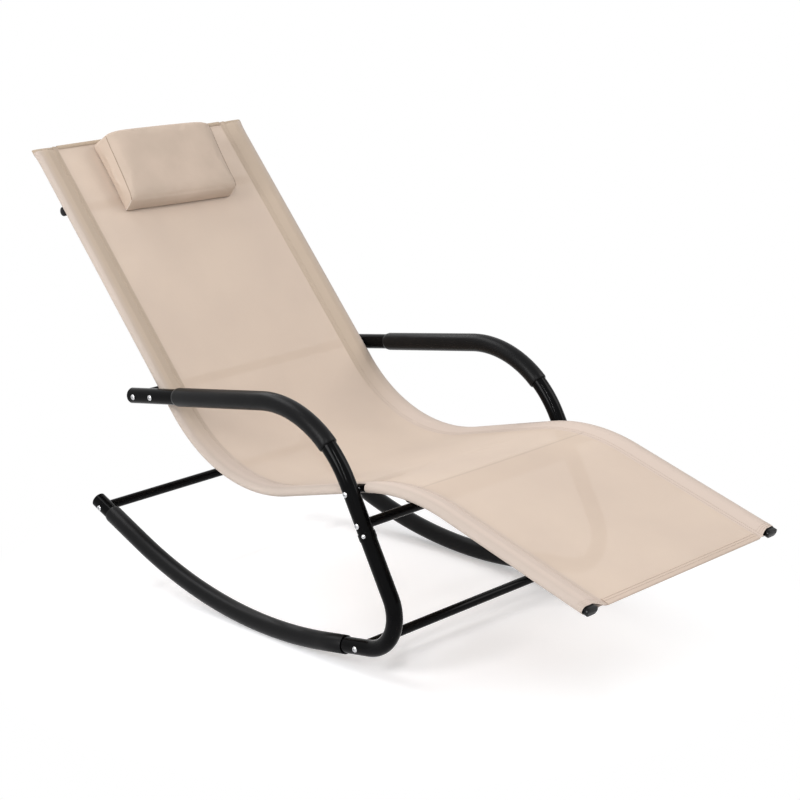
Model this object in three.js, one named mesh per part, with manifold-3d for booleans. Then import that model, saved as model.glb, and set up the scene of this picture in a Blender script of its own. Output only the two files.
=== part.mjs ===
// A rocking chaise lounge: two bent tube side frames that stand on rocker arcs, cross tubes
// between them, two flat-oval rails that carry a mesh sling in side pockets, and a head pillow.
// Millimetres. +Z is up, +Y points to the head end, -X is the sitter's right.

import * as THREE from 'three';
import { mergeVertices } from 'three/addons/utils/BufferGeometryUtils.js';
import Module from 'manifold-3d';

const wasm = await Module();
wasm.setup();

const degrees = THREE.MathUtils.degToRad;

// Fits shared by the whole chair
const clearance = 0.3; // gap between pieces that rest on each other
const overrun = 5; // how far a cutter runs past the wall that it cuts

// Side frame tube
const tube_diameter = 31;
const tube_wall = 1.2; // of the arm tube
const rocker_wall = 1.5;
const frame_spacing = 584; // between the centres of the two side frames
const arm_tail_length = 19.5; // of the arm, behind its cross tube
const arm_bend_radius = 215;
const arm_bend_angle = degrees(70.8);
const leg_length = 220; // straight leg between the two bends
const toe_bend_radius = 76.5;
const toe_bend_angle = degrees(109.3);
const rocker_front_straight = 117;
const rocker_radius = 943; // to the tube's centre line
const rocker_front_angle = degrees(9.8);
const rocker_rear_angle = degrees(23.05);
const rest_chord_angle = degrees(4.2); // the facet of the arc that meets the floor at rest
const rocker_rear_straight = 144.5;
const tube_sides = 12;

// Sleeves over the frame tube
const runner_diameter = 36;
const runner_front_gap = 60; // from the toe bend's end to the runner
const runner_rear_gap = 45.5; // from the runner to the tube's rear end
const grip_diameter = 36.6;
const grip_bolt_gap = 64.6; // from the rail bolt to the grip
const grip_bend_gap = 76; // length of the bend's end that the grip leaves bare

// Joint of the arm tube and the rocker tube, in the leg
const joint_drop = 95; // below the arm bend's end
const coupler_length = 90;
const coupler_wall = 3;
const joint_screw_drop = 6; // below the joint
const joint_screw_turn = degrees(24); // from straight sideways towards the front
const joint_screw_length = 12;
const joint_screw_lift = 0.6; // of its head over the round tube
const joint_screw_head_share = 0.73; // of a bolt head's diameter

// Cross tubes
const bar_diameter = 19;
const bar_wall = 1; // of the back, rear and head tubes
const step_bar_wall = 2; // of the seat, front and knee tubes, which a foot can step on
const bar_end_thickness = 12; // solid threaded end of each cross tube
const back_bar_gap = 52.4; // behind the rail bolt
const seat_bar_drop = 80; // below the arm bend's end
const front_bar_gap = 21.5; // behind the toe bend's end
const rear_bar_gap = 22.5; // in front of the rocker tube's rear end
const head_bar_gap = 138; // below the sling's head end
const head_bar_overhang = 7; // of the head cross tube past the middle of each rail
const head_bar_bolt_length = 26;

// Bolts
const bolt_diameter = 6;
const bolt_length = 44;
const bolt_head_diameter = 11;
const bolt_head_height = 3.2;
const bolt_head_shares = [[0, 1], [0.6, 0.85], [1, 0.3]]; // of the head's radius and height
const bolt_fit = 0.3; // clearance round a bolt
const rail_bolt_length = 40;
const rail_bolt_offset = 2.8; // the rail bolts pass this far below the rail's middle
const seat_rail_bolt_drop = 19.6; // below the arm bend's end
const bolt_sides = 8;

// Flat-oval side rails
const rail_width = 30;
const rail_thickness = 15;
const back_rail_wall = 1;
const seat_rail_wall = 2; // thicker, since it carries the sitter over the knee bend
const rail_frame_gap = 1.5; // between the rail and the frame tube
const washer_diameter = 16;
const foot_straight = 335.6; // from the foot caps' faces to the knee bend
const knee_radius = 385.6;
const knee_angle = degrees(31.05);
const seat_straight = 205.6;
const seat_radius = 306.8;
const seat_angle = degrees(63.9);
const back_straight = 621.3; // up to the sling's head end
const seat_slope = degrees(15.3); // the seat falls towards the rear
const seat_bolt_past_knee = 0.5;
const rail_joint_share = 0.5; // where the rails meet, along the straight seat part
const rail_coupler_length = 120;
const rail_coupler_wall = 2;
const rail_head_gap = 14; // between the rail's end and the sling's head end
const rail_arc_steps = 5;

// Plugs in the open ends
const plug_depth = 12;
const bar_plug_depth = 3; // short, because a bolt crosses the head tube close to its end
const arm_dome = 3.5;
const rocker_dome = 3.5;
const bar_dome = 4;
const dome_shares = [[0.8, 0.8], [0.4, 1]]; // of the head's radius and the dome's height
const rail_plug_head = 6;
const rail_plug_round = 1.5;

// Sling
const fabric_thickness = 0.8;
const pocket_width = 59; // from the sling's outer edge to the pocket's sewn edge
const seam_overlap = 12; // how far the panel lies over the sewn edge of a pocket
const pocket_foot_gap = 10; // from the foot caps' faces to the pocket
const panel_foot_gap = 1;
const seat_notch_length = 36; // the pocket is open beside the rail bolts
const back_notch_length = 24;
const back_sag = 5; // of the panel, halfway up the back
const seat_sag = 11;
const knee_sag = 1.7;
const leg_sag = 6;
const panel_columns = 10; // the outermost on each side lies over the pocket's sewn edge

// Head pillow and its strap
const pillow_width = 284;
const pillow_length = 165; // along the backrest
const pillow_head_edge = 44; // thickness at the upper corners
const pillow_foot_edge = 37; // thickness at the lower seam
const pillow_crown = 15; // how far the face stands over its corners, fullest towards the head
const pillow_side_crown = 4;
const pillow_pinch = 3; // how far the sides draw in between the corners
const pillow_lean = 6; // how far the front seams lie inside the rear ones
const pillow_corner = 7; // radius of the rounded seams
const pillow_turn = degrees(2); // it lies a little askew on the backrest
const pillow_offset = 1; // to the sitter's left of the middle
const pillow_head_gap = 16.5; // from the pillow to the sling's head end
const strap_width = 160;
const strap_thickness = 1.2;
const strap_front_length = 120; // behind the pillow
const strap_back_length = 90; // down the rear of the sling

// Sizes that follow from the ones above
const tube_radius = tube_diameter / 2;
const arm_bore = tube_radius - tube_wall;
const rocker_bore = tube_radius - rocker_wall;
const bar_radius = bar_diameter / 2;
const frame_x = frame_spacing / 2;
const frame_face_x = frame_x - tube_radius;
const rail_x = frame_face_x - rail_frame_gap - rail_width / 2;
const sleeve_offset = clearance + fabric_thickness;
const sling_edge_x = rail_x + rail_width / 2 + sleeve_offset;
const pocket_edge_x = sling_edge_x - pocket_width;
const panel_half_width = pocket_edge_x + seam_overlap;
const panel_base = fabric_thickness + clearance;
const panel_top = panel_base + fabric_thickness;
const hole_radius = bolt_diameter / 2 + bolt_fit;
const bolt_head_seat_x = frame_x + tube_radius + clearance;

// Materials, with the colours of the real chair
const steel_black = { color: 0x1b1b1c, roughness: 0.35, metalness: 0.2 };
const foam_black = { color: 0x242425, roughness: 0.85, metalness: 0 };
const plastic_black = { color: 0x161617, roughness: 0.45, metalness: 0 };
const zinc = { color: 0xc9cacc, roughness: 0.3, metalness: 1 };
const sling_beige = { color: 0xd8c6b6, roughness: 0.9, metalness: 0 };
const pocket_beige = { color: 0xcabab0, roughness: 0.9, metalness: 0 };
const pillow_beige = { color: 0xc9b6a8, roughness: 0.95, metalness: 0 };

// A route in the side plane, drawn with straights and bends. A bend keeps its corners on the
// true arc, and a place between two corners lies on the chord.
class SideRoute {
  constructor(y, z, heading) {
    this.corners = [{ y, z, heading, station: 0 }];
  }

  get end() {
    return this.corners[this.corners.length - 1];
  }

  straight(length) {
    const { y, z, heading, station } = this.end;
    this.corners.push({
      y: y + Math.cos(heading) * length,
      z: z + Math.sin(heading) * length,
      heading,
      station: station + length,
    });
    return this;
  }

  // A positive angle turns to the left of the way the route runs.
  bend(radius, angle, steps) {
    const start = this.end;
    const side = Math.sign(angle);
    for (let step = 1; step <= steps; step += 1) {
      const heading = start.heading + (angle * step) / steps;
      this.corners.push({
        y: start.y + side * radius * (Math.sin(heading) - Math.sin(start.heading)),
        z: start.z - side * radius * (Math.cos(heading) - Math.cos(start.heading)),
        heading,
        station: start.station + (radius * Math.abs(angle) * step) / steps,
      });
    }
    return this;
  }

  at(station) {
    const last = this.corners.length - 2;
    let index = 0;
    while (index < last && this.corners[index + 1].station < station) index += 1;
    const [before, after] = [this.corners[index], this.corners[index + 1]];
    const share = (station - before.station) / (after.station - before.station);
    return {
      y: before.y + (after.y - before.y) * share,
      z: before.z + (after.z - before.z) * share,
      heading: before.heading + (after.heading - before.heading) * share,
      station,
    };
  }

  // The place at a station, moved to the left of the way the route runs.
  beside(station, offset) {
    const place = this.at(station);
    return {
      ...place,
      y: place.y - Math.sin(place.heading) * offset,
      z: place.z + Math.cos(place.heading) * offset,
    };
  }

  between(from, to) {
    const inside = this.corners.filter((corner) => corner.station > from && corner.station < to);
    return [this.at(from), ...inside, this.at(to)];
  }

  moved(dy, dz) {
    const copy = new SideRoute(0, 0, 0);
    copy.corners = this.corners.map((corner) => ({ ...corner, y: corner.y + dy, z: corner.z + dz }));
    return copy;
  }
}

// The curve that a section is swept along: its spaced points are the route's own corners.
class RouteCurve extends THREE.Curve {
  constructor(places, x) {
    super();
    this.places = places;
    this.x = x;
  }

  pick(share) {
    return this.places[Math.round(share * (this.places.length - 1))];
  }

  getPointAt(share, target = new THREE.Vector3()) {
    const place = this.pick(share);
    return target.set(this.x, place.y, place.z);
  }

  getTangentAt(share, target = new THREE.Vector3()) {
    const { heading } = this.pick(share);
    return target.set(0, Math.cos(heading), Math.sin(heading));
  }
}

// A polygon round a circle, with one flat square to each axis.
function circle_points(radius, sides) {
  const corner = radius / Math.cos(Math.PI / sides);
  return Array.from({ length: sides }, (_, index) => {
    const angle = ((index + 0.5) * 2 * Math.PI) / sides;
    return new THREE.Vector2(Math.cos(angle) * corner, Math.sin(angle) * corner);
  });
}

function arc_points(cx, radius, from, to, steps) {
  return Array.from({ length: steps + 1 }, (_, index) => {
    const angle = from + ((to - from) * index) / steps;
    return new THREE.Vector2(cx + Math.cos(angle) * radius, Math.sin(angle) * radius);
  });
}

// The flat-oval outline of a rail, grown outwards by an offset.
function oval_points(offset) {
  const radius = rail_thickness / 2 + offset;
  const cx = (rail_width - rail_thickness) / 2;
  return [
    ...arc_points(cx, radius, -Math.PI / 2, Math.PI / 2, rail_arc_steps),
    ...arc_points(-cx, radius, Math.PI / 2, (Math.PI * 3) / 2, rail_arc_steps),
  ];
}

function outline(points, ...holes) {
  const wound = (list) => (THREE.ShapeUtils.isClockWise(list) ? [...list].reverse() : list);
  const shape = new THREE.Shape(wound(points));
  shape.holes = holes.map((hole) => new THREE.Path(wound(hole)));
  return shape;
}

function ring_outline(outer_radius, inner_radius) {
  return outline(circle_points(outer_radius, tube_sides), circle_points(inner_radius, tube_sides));
}

function sweep(shape, places, x) {
  return new THREE.ExtrudeGeometry(shape, {
    steps: places.length - 1,
    extrudePath: new RouteCurve(places, x),
  });
}

// Closes a geometry: equal corners are merged, and triangles without an area are left out.
function closed(geometry) {
  const bare = new THREE.BufferGeometry();
  bare.setAttribute('position', geometry.getAttribute('position').clone());
  if (geometry.index) bare.setIndex(geometry.index.clone());
  const merged = mergeVertices(bare, 1e-3);
  const kept = [];
  for (let face = 0; face < merged.index.count; face += 3) {
    const corners = [0, 1, 2].map((corner) => merged.index.getX(face + corner));
    if (new Set(corners).size === 3) kept.push(...corners);
  }
  merged.setIndex(kept);
  return merged;
}

function solid(geometry) {
  const shape = closed(geometry);
  return new wasm.Manifold(
    new wasm.Mesh({
      numProp: 3,
      vertProperties: new Float32Array(shape.getAttribute('position').array),
      triVerts: new Uint32Array(shape.index.array),
    }),
  );
}

function cut(geometry, cutters) {
  const result = cutters.reduce((body, cutter) => body.subtract(solid(cutter)), solid(geometry));
  return from_solid(result);
}

function join(geometry, other) {
  return from_solid(solid(geometry).add(solid(other)));
}

function from_solid(body) {
  const mesh = body.getMesh();
  const geometry = new THREE.BufferGeometry();
  geometry.setAttribute('position', new THREE.BufferAttribute(mesh.vertProperties, 3));
  geometry.setIndex(new THREE.BufferAttribute(mesh.triVerts, 1));
  return geometry;
}

// A turned piece. Its profile is given as pairs of radius and height, and its axis is laid
// along a direction from a base point.
function turned(profile, sides, base, direction) {
  const points = profile.map(([radius, height]) => new THREE.Vector2(radius, height));
  const geometry = new THREE.LatheGeometry(points, sides);
  const turn = new THREE.Quaternion().setFromUnitVectors(new THREE.Vector3(0, 1, 0), direction);
  return geometry.applyQuaternion(turn).translate(base.x, base.y, base.z);
}

function rod(radius, length, sides, base, direction) {
  return turned([[0, 0], [radius, 0], [radius, length], [0, length]], sides, base, direction);
}

function point(x, place) {
  return new THREE.Vector3(x, place.y, place.z);
}

function along(heading) {
  return new THREE.Vector3(0, Math.cos(heading), Math.sin(heading));
}

function across(heading) {
  return new THREE.Vector3(0, -Math.sin(heading), Math.cos(heading));
}

// A hole for a cross bolt, right through whatever lies between two distances from the middle.
function cross_hole(side, place, from, to) {
  const direction = new THREE.Vector3(side, 0, 0);
  return rod(hole_radius, to - from, bolt_sides, point(side * from, place), direction);
}

// The side frame's route, drawn from the arm's rear end round to the rocker's rear end, and
// set so that the middle of the rest chord lies over the zero of the side plane.
const rocker_front_sweep = rocker_front_angle - rest_chord_angle / 2;
const rocker_rear_sweep = rocker_rear_angle - rest_chord_angle / 2;
const arm_heading = -rocker_front_angle - toe_bend_angle - arm_bend_angle;
const arm_bend_length = arm_bend_radius * arm_bend_angle;
const toe_bend_length = toe_bend_radius * toe_bend_angle;

function frame_with_arm(arm) {
  const route = new SideRoute(0, 0, arm_heading)
    .straight(arm)
    .bend(arm_bend_radius, arm_bend_angle, 6)
    .straight(leg_length)
    .bend(toe_bend_radius, toe_bend_angle, 8)
    .straight(rocker_front_straight)
    .bend(rocker_radius, rocker_front_sweep, 2)
    .bend(rocker_radius, rest_chord_angle, 1)
    .bend(rocker_radius, rocker_rear_sweep, 5)
    .straight(rocker_rear_straight);
  const rest = route.at(
    route.end.station -
      rocker_rear_straight -
      rocker_radius * (rocker_rear_sweep + rest_chord_angle / 2),
  );
  const rest_height = (runner_diameter / 2) * Math.cos(rest_chord_angle / 2);
  return route.moved(-rest.y, rest_height - rest.z);
}

// The rail's route, from the foot to the sling's head end, hung on the seat bolt.
const stub_frame = frame_with_arm(tube_diameter);
const seat_bolt_place = stub_frame.at(tube_diameter + arm_bend_length + seat_rail_bolt_drop);
const knee_end = foot_straight + knee_radius * knee_angle;
const seat_bend_start = knee_end + seat_straight;
const loose_rail = new SideRoute(0, 0, knee_angle - seat_slope)
  .straight(foot_straight)
  .bend(knee_radius, -knee_angle, 4)
  .straight(seat_straight)
  .bend(seat_radius, seat_angle, 8)
  .straight(back_straight);
const rail_length = loose_rail.end.station;
const loose_bolt = loose_rail.beside(knee_end + seat_bolt_past_knee, -rail_bolt_offset);
const rail_route = loose_rail.moved(
  seat_bolt_place.y - loose_bolt.y,
  seat_bolt_place.z - loose_bolt.z,
);
const back_heading = rail_route.end.heading;

// How far behind a place on the arm the bolt line of the backrest crosses the arm.
function back_bolt_reach(arm) {
  const back = rail_route.beside(rail_length, -rail_bolt_offset);
  const turn = Math.sin(back.heading - arm.heading);
  return (
    ((arm.y - back.y) * Math.sin(back.heading) - (arm.z - back.z) * Math.cos(back.heading)) / turn
  );
}

// The arm ends just behind its cross tube, which lies behind the back bolt.
const arm_length =
  back_bolt_reach(stub_frame.corners[1]) + back_bar_gap + arm_tail_length;
const frame_route = frame_with_arm(arm_length);
const frame_length = frame_route.end.station;
const arm_bend_end = arm_length + arm_bend_length;
const toe_bend_end = arm_bend_end + leg_length + toe_bend_length;
const joint_station = arm_bend_end + joint_drop;
const seat_bar_place = frame_route.at(arm_bend_end + seat_bar_drop);
const back_bar_place = frame_route.at(arm_tail_length);
const back_bolt_frame_station = arm_tail_length + back_bar_gap;
const back_bolt_place = frame_route.at(back_bolt_frame_station);
const front_bar_place = frame_route.at(toe_bend_end + front_bar_gap);
const rear_bar_place = frame_route.at(frame_length - rear_bar_gap);
const back_bolt_station =
  rail_length -
  (rail_route.end.y - back_bolt_place.y) * Math.cos(back_heading) -
  (rail_route.end.z - back_bolt_place.z) * Math.sin(back_heading);
const seat_bolt_station = knee_end + seat_bolt_past_knee;
const rail_joint_station = knee_end + seat_straight * rail_joint_share;
const rail_head_station = rail_length - rail_head_gap;
const head_bar_station = rail_length - head_bar_gap;
const head_bar_reach = rail_x + head_bar_overhang;
const head_bar_depth = rail_thickness / 2 + sleeve_offset + clearance + bar_radius;
const head_bar_place = rail_route.beside(head_bar_station, -head_bar_depth);
const knee_bar_station = foot_straight + (knee_radius * knee_angle) / 2;
const knee_bar_place = rail_route.beside(
  knee_bar_station,
  -(panel_base + clearance + bar_radius),
);

// Pieces of one side frame

function arm_tube(side) {
  const places = frame_route.between(0, joint_station);
  const tube = sweep(ring_outline(tube_radius, arm_bore), places, side * frame_x);
  const bolts = [back_bar_place, back_bolt_place, seat_bolt_place, seat_bar_place];
  const [inner, outer] = [frame_face_x - overrun, frame_x + tube_radius + overrun];
  return cut(tube, bolts.map((place) => cross_hole(side, place, inner, outer)));
}

function rocker_tube(side) {
  const places = frame_route.between(joint_station + clearance, frame_length);
  const tube = sweep(ring_outline(tube_radius, rocker_bore), places, side * frame_x);
  const [inner, outer] = [frame_face_x - overrun, frame_x + tube_radius + overrun];
  const bolts = [front_bar_place, rear_bar_place];
  const holes = bolts.map((place) => cross_hole(side, place, inner, outer));
  return cut(tube, [...holes, joint_screw_hole(side)]);
}

// The screw of the leg joint points in from the side, turned towards the front.
function joint_screw_way(side) {
  const { heading } = frame_route.at(joint_station + joint_screw_drop);
  return new THREE.Vector3(-side * Math.cos(joint_screw_turn), 0, 0).addScaledVector(
    across(heading),
    Math.sin(joint_screw_turn),
  );
}

function joint_screw_base(side, distance) {
  const place = frame_route.at(joint_station + joint_screw_drop);
  return point(side * frame_x, place).addScaledVector(joint_screw_way(side), -distance);
}

function joint_screw_hole(side) {
  const start = joint_screw_base(side, tube_radius + overrun);
  return rod(hole_radius, tube_radius + overrun, bolt_sides, start, joint_screw_way(side));
}

function leg_coupler(side) {
  const from = joint_station - coupler_length / 2;
  const radius = rocker_bore - clearance;
  const places = frame_route.between(from, from + coupler_length);
  const insert = sweep(ring_outline(radius, radius - coupler_wall), places, side * frame_x);
  const [inner, outer] = [frame_x - tube_radius, frame_x + tube_radius];
  return cut(insert, [cross_hole(side, seat_bar_place, inner, outer), joint_screw_hole(side)]);
}

function arm_grip(side) {
  const rear = back_bolt_frame_station + grip_bolt_gap;
  const places = frame_route.between(rear, arm_bend_end - grip_bend_gap);
  const section = ring_outline(grip_diameter / 2, tube_radius + clearance);
  return sweep(section, places, side * frame_x);
}

function rocker_sleeve(side) {
  const places = frame_route.between(toe_bend_end + runner_front_gap, frame_length - runner_rear_gap);
  const section = ring_outline(runner_diameter / 2, tube_radius + clearance);
  return sweep(section, places, side * frame_x);
}

// A round plug: a stem in the tube's bore and a domed head against its end.
function round_plug(head_radius, bore, depth, dome, base, direction) {
  const stem = bore - clearance;
  const shoulder = Math.min(dome / 3, head_radius - stem);
  return turned(
    [
      [0, -depth],
      [stem, -depth],
      [stem, clearance],
      [head_radius, clearance],
      [head_radius, clearance + shoulder],
      ...dome_shares.map(([wide, high]) => [head_radius * wide, dome * high]),
      [0, dome],
    ],
    tube_sides,
    base,
    direction,
  );
}

function arm_cap(side) {
  const end = frame_route.corners[0];
  const outwards = along(end.heading).negate();
  const base = point(side * frame_x, end);
  return round_plug(tube_radius, arm_bore, plug_depth, arm_dome, base, outwards);
}

function rocker_cap(side) {
  const { end } = frame_route;
  const base = point(side * frame_x, end);
  const outwards = along(end.heading);
  return round_plug(tube_radius, rocker_bore, plug_depth, rocker_dome, base, outwards);
}

// Cross tubes

const rightwards = new THREE.Vector3(1, 0, 0);

// A cross tube with solid threaded ends, shaped at each end to seat on the frame tube.
function frame_bar(place, wall) {
  const bore = bar_radius - wall;
  const thread = bolt_diameter / 2 + bolt_fit;
  const nut = frame_face_x - bar_end_thickness;
  const tube = turned(
    [
      [thread, -frame_x],
      [bar_radius, -frame_x],
      [bar_radius, frame_x],
      [thread, frame_x],
      [thread, nut],
      [bore, nut],
      [bore, -nut],
      [thread, -nut],
      [thread, -frame_x],
    ],
    tube_sides,
    point(0, place),
    rightwards,
  );
  const around = frame_route.between(place.station - bar_diameter, place.station + bar_diameter);
  const frame_section = outline(circle_points(tube_radius + clearance, tube_sides));
  return cut(tube, [-1, 1].map((side) => sweep(frame_section, around, side * frame_x)));
}

function bar_tube(half_length, place, wall) {
  const bore = bar_radius - wall;
  const profile = [
    [bore, -half_length],
    [bar_radius, -half_length],
    [bar_radius, half_length],
    [bore, half_length],
    [bore, -half_length],
  ];
  return turned(profile, tube_sides, point(0, place), rightwards);
}

function head_bar_hole(side) {
  const normal = across(back_heading);
  const start = point(side * rail_x, head_bar_place).addScaledVector(normal, -bar_diameter);
  return rod(hole_radius, bar_diameter + head_bar_depth, bolt_sides, start, normal);
}

function crossbar_head() {
  const tube = bar_tube(head_bar_reach, head_bar_place, bar_wall);
  return cut(tube, [head_bar_hole(-1), head_bar_hole(1)]);
}

// The knee tube runs under the panel and is coped to fit against both rails.
function crossbar_knee() {
  const middle = rail_x - (rail_width - rail_thickness) / 2;
  const around = rail_route.between(knee_bar_station - bar_diameter, knee_bar_station + bar_diameter);
  const rails = [-1, 1].map((side) => sweep(outline(oval_points(clearance)), around, side * rail_x));
  return cut(bar_tube(middle, knee_bar_place, step_bar_wall), rails);
}

function head_bar_cap(side) {
  const base = point(side * head_bar_reach, head_bar_place);
  const outwards = new THREE.Vector3(side, 0, 0);
  const bore = bar_radius - bar_wall;
  return round_plug(bar_radius, bore, bar_plug_depth, bar_dome, base, outwards);
}

// Side rails

function rail_piece(side, from, to, wall, holes) {
  const section = outline(oval_points(0), oval_points(-wall));
  const tube = sweep(section, rail_route.between(from, to), side * rail_x);
  return cut(tube, holes);
}

function rail_bolt_hole(side, place) {
  return cross_hole(side, place, rail_x, frame_x);
}

function back_rail(side) {
  const holes = [rail_bolt_hole(side, back_bolt_place), head_bar_hole(side)];
  const from = rail_joint_station + clearance;
  return rail_piece(side, from, rail_head_station, back_rail_wall, holes);
}

function seat_rail(side) {
  const foot = rail_plug_head + clearance;
  const holes = [rail_bolt_hole(side, seat_bolt_place)];
  return rail_piece(side, foot, rail_joint_station, seat_rail_wall, holes);
}

function rail_coupler(side) {
  const from = rail_joint_station - rail_coupler_length / 2;
  const outer = -seat_rail_wall - clearance;
  const section = outline(oval_points(outer), oval_points(outer - rail_coupler_wall));
  return sweep(section, rail_route.between(from, from + rail_coupler_length), side * rail_x);
}

// A flat-oval plug: a head with rounded edges outside the rail and a stem in its bore.
function rail_plug(side, station, way, wall) {
  const place = rail_route.at(station);
  const head = new THREE.ExtrudeGeometry(outline(oval_points(-rail_plug_round)), {
    depth: rail_plug_head - rail_plug_round * 2,
    bevelThickness: rail_plug_round,
    bevelSize: rail_plug_round,
    bevelSegments: 2,
  }).translate(0, 0, rail_plug_round);
  const stem = new THREE.ExtrudeGeometry(outline(oval_points(-wall - clearance)), {
    depth: plug_depth + rail_plug_head / 2,
    bevelEnabled: false,
  }).translate(0, 0, -plug_depth);
  const forward = along(place.heading).multiplyScalar(way);
  const normal = across(place.heading);
  const sideways = new THREE.Vector3().crossVectors(normal, forward);
  const pose = new THREE.Matrix4().makeBasis(sideways, normal, forward);
  pose.setPosition(side * rail_x, place.y, place.z);
  return join(head, stem).applyMatrix4(pose);
}

function rail_foot_cap(side) {
  return rail_plug(side, rail_plug_head, -1, seat_rail_wall);
}

function rail_head_cap(side) {
  return rail_plug(side, rail_head_station + clearance, 1, back_rail_wall);
}

// Bolts and washers

function bolt(length, base, direction, head_share = 1) {
  const shank = bolt_diameter / 2;
  const head = (bolt_head_diameter / 2) * head_share;
  return turned(
    [
      ...bolt_head_shares.map(([wide, high]) => [head * wide, -bolt_head_height * high]),
      [head, 0],
      [shank, 0],
      [shank, length],
      [0, length],
    ],
    bolt_sides,
    base,
    direction,
  );
}

function side_bolt(side, place, length) {
  const inwards = new THREE.Vector3(-side, 0, 0);
  return bolt(length, point(side * bolt_head_seat_x, place), inwards);
}

function joint_screw(side) {
  const base = joint_screw_base(side, tube_radius + joint_screw_lift);
  return bolt(joint_screw_length, base, joint_screw_way(side), joint_screw_head_share);
}

function head_bar_bolt(side) {
  const normal = across(back_heading);
  const place = point(side * rail_x, head_bar_place);
  const base = place.addScaledVector(normal, -bar_radius - clearance);
  return bolt(head_bar_bolt_length, base, normal);
}

function rail_washer(side, place) {
  const profile = [
    [hole_radius, 0],
    [washer_diameter / 2, 0],
    [washer_diameter / 2, rail_frame_gap - clearance * 2],
    [hole_radius, rail_frame_gap - clearance * 2],
    [hole_radius, 0],
  ];
  const base = point(side * (frame_face_x - clearance), place);
  return turned(profile, bolt_sides, base, new THREE.Vector3(-side, 0, 0));
}

// Sling

// A pocket's section: the fabric round the rail, and its two layers sewn flat towards the
// middle of the chair.
function pocket_outline(side) {
  const radius = rail_thickness / 2 + sleeve_offset;
  const cx = (rail_width - rail_thickness) / 2;
  const half_layer = fabric_thickness;
  const edge = pocket_edge_x - rail_x;
  const meet = Math.asin(half_layer / radius);
  const points = [
    new THREE.Vector2(edge, -half_layer),
    ...arc_points(-cx, radius, -Math.PI + meet, -Math.PI / 2, 3),
    ...arc_points(cx, radius, -Math.PI / 2, Math.PI / 2, rail_arc_steps),
    ...arc_points(-cx, radius, Math.PI / 2, Math.PI - meet, 3),
    new THREE.Vector2(edge, half_layer),
  ];
  // The swept section's first axis points to -X.
  const flip = (list) => list.map((spot) => new THREE.Vector2(-side * spot.x, spot.y));
  return outline(flip(points), flip(oval_points(clearance)));
}

function notch(side, station, length) {
  const places = rail_route.between(station - length / 2, station + length / 2);
  const half_width = rail_width / 4 + overrun;
  const half_height = rail_thickness / 2 + sleeve_offset + overrun;
  const block = outline([
    new THREE.Vector2(-half_width, -half_height),
    new THREE.Vector2(half_width, -half_height),
    new THREE.Vector2(half_width, half_height),
    new THREE.Vector2(-half_width, half_height),
  ]);
  return sweep(block, places, side * (rail_x + half_width + rail_width / 6));
}

function side_sleeve(side) {
  const places = rail_route.between(pocket_foot_gap, rail_length);
  const pocket = sweep(pocket_outline(side), places, side * rail_x);
  const knee_hole = rod(
    bar_radius + clearance,
    panel_half_width,
    tube_sides * 2,
    point(side * (rail_x - panel_half_width), knee_bar_place),
    new THREE.Vector3(side, 0, 0),
  );
  return cut(pocket, [
    notch(side, seat_bolt_station, seat_notch_length),
    notch(side, back_bolt_station, back_notch_length),
    knee_hole,
    head_bar_hole(side),
  ]);
}

// How far the panel hangs below its flat place, from the foot to the head.
const sag_stations = [
  [0, 0],
  [foot_straight / 2, leg_sag],
  [knee_bar_station, knee_sag],
  [seat_bend_start, seat_sag],
  [seat_bend_start + seat_radius * seat_angle, back_sag + seat_sag / 4],
  [rail_length - back_straight / 2, back_sag],
  [head_bar_station - strap_front_length / 2, 0],
  [rail_length, 0],
];

function sag_at(station) {
  const index = sag_stations.findIndex(([place]) => place >= station);
  if (index <= 0) return 0;
  const [[from, low], [to, high]] = [sag_stations[index - 1], sag_stations[index]];
  return low + (high - low) * THREE.MathUtils.smoothstep(station, from, to);
}

function sling_panel() {
  const places = [];
  const corners = rail_route.between(panel_foot_gap, rail_length);
  for (const [index, corner] of corners.entries()) {
    if (index > 0 && corner.station - corners[index - 1].station > foot_straight / 3) {
      const middle = (corner.station + corners[index - 1].station) / 2;
      places.push(rail_route.at(middle));
    }
    places.push(corner);
  }
  const panel = new THREE.BoxGeometry(2, 1, 2, panel_columns, 1, places.length - 1);
  const position = panel.getAttribute('position');
  for (let index = 0; index < position.count; index += 1) {
    const across_share = position.getX(index);
    const row = Math.round(((position.getZ(index) + 1) / 2) * (places.length - 1));
    const inside = Math.min(Math.abs(across_share) / (1 - 2 / panel_columns), 1);
    const overlaps = Math.abs(across_share) > 1 - 1 / panel_columns;
    const x = Math.sign(across_share) * (overlaps ? panel_half_width : inside * pocket_edge_x);
    const sag = sag_at(places[row].station) * (1 - inside * inside);
    const layer = position.getY(index) > 0 ? panel_top : panel_base;
    const place = rail_route.beside(places[row].station, layer - sag);
    // The sweep runs to +Y, so the box is laid with its own +Z along the route.
    position.setXYZ(index, -x, place.y, place.z);
  }
  return panel;
}

// Head pillow and strap

const pillow_base = panel_top + strap_thickness + clearance * 2;
const pillow_middle = rail_length - pillow_head_gap - pillow_length / 2;

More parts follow.
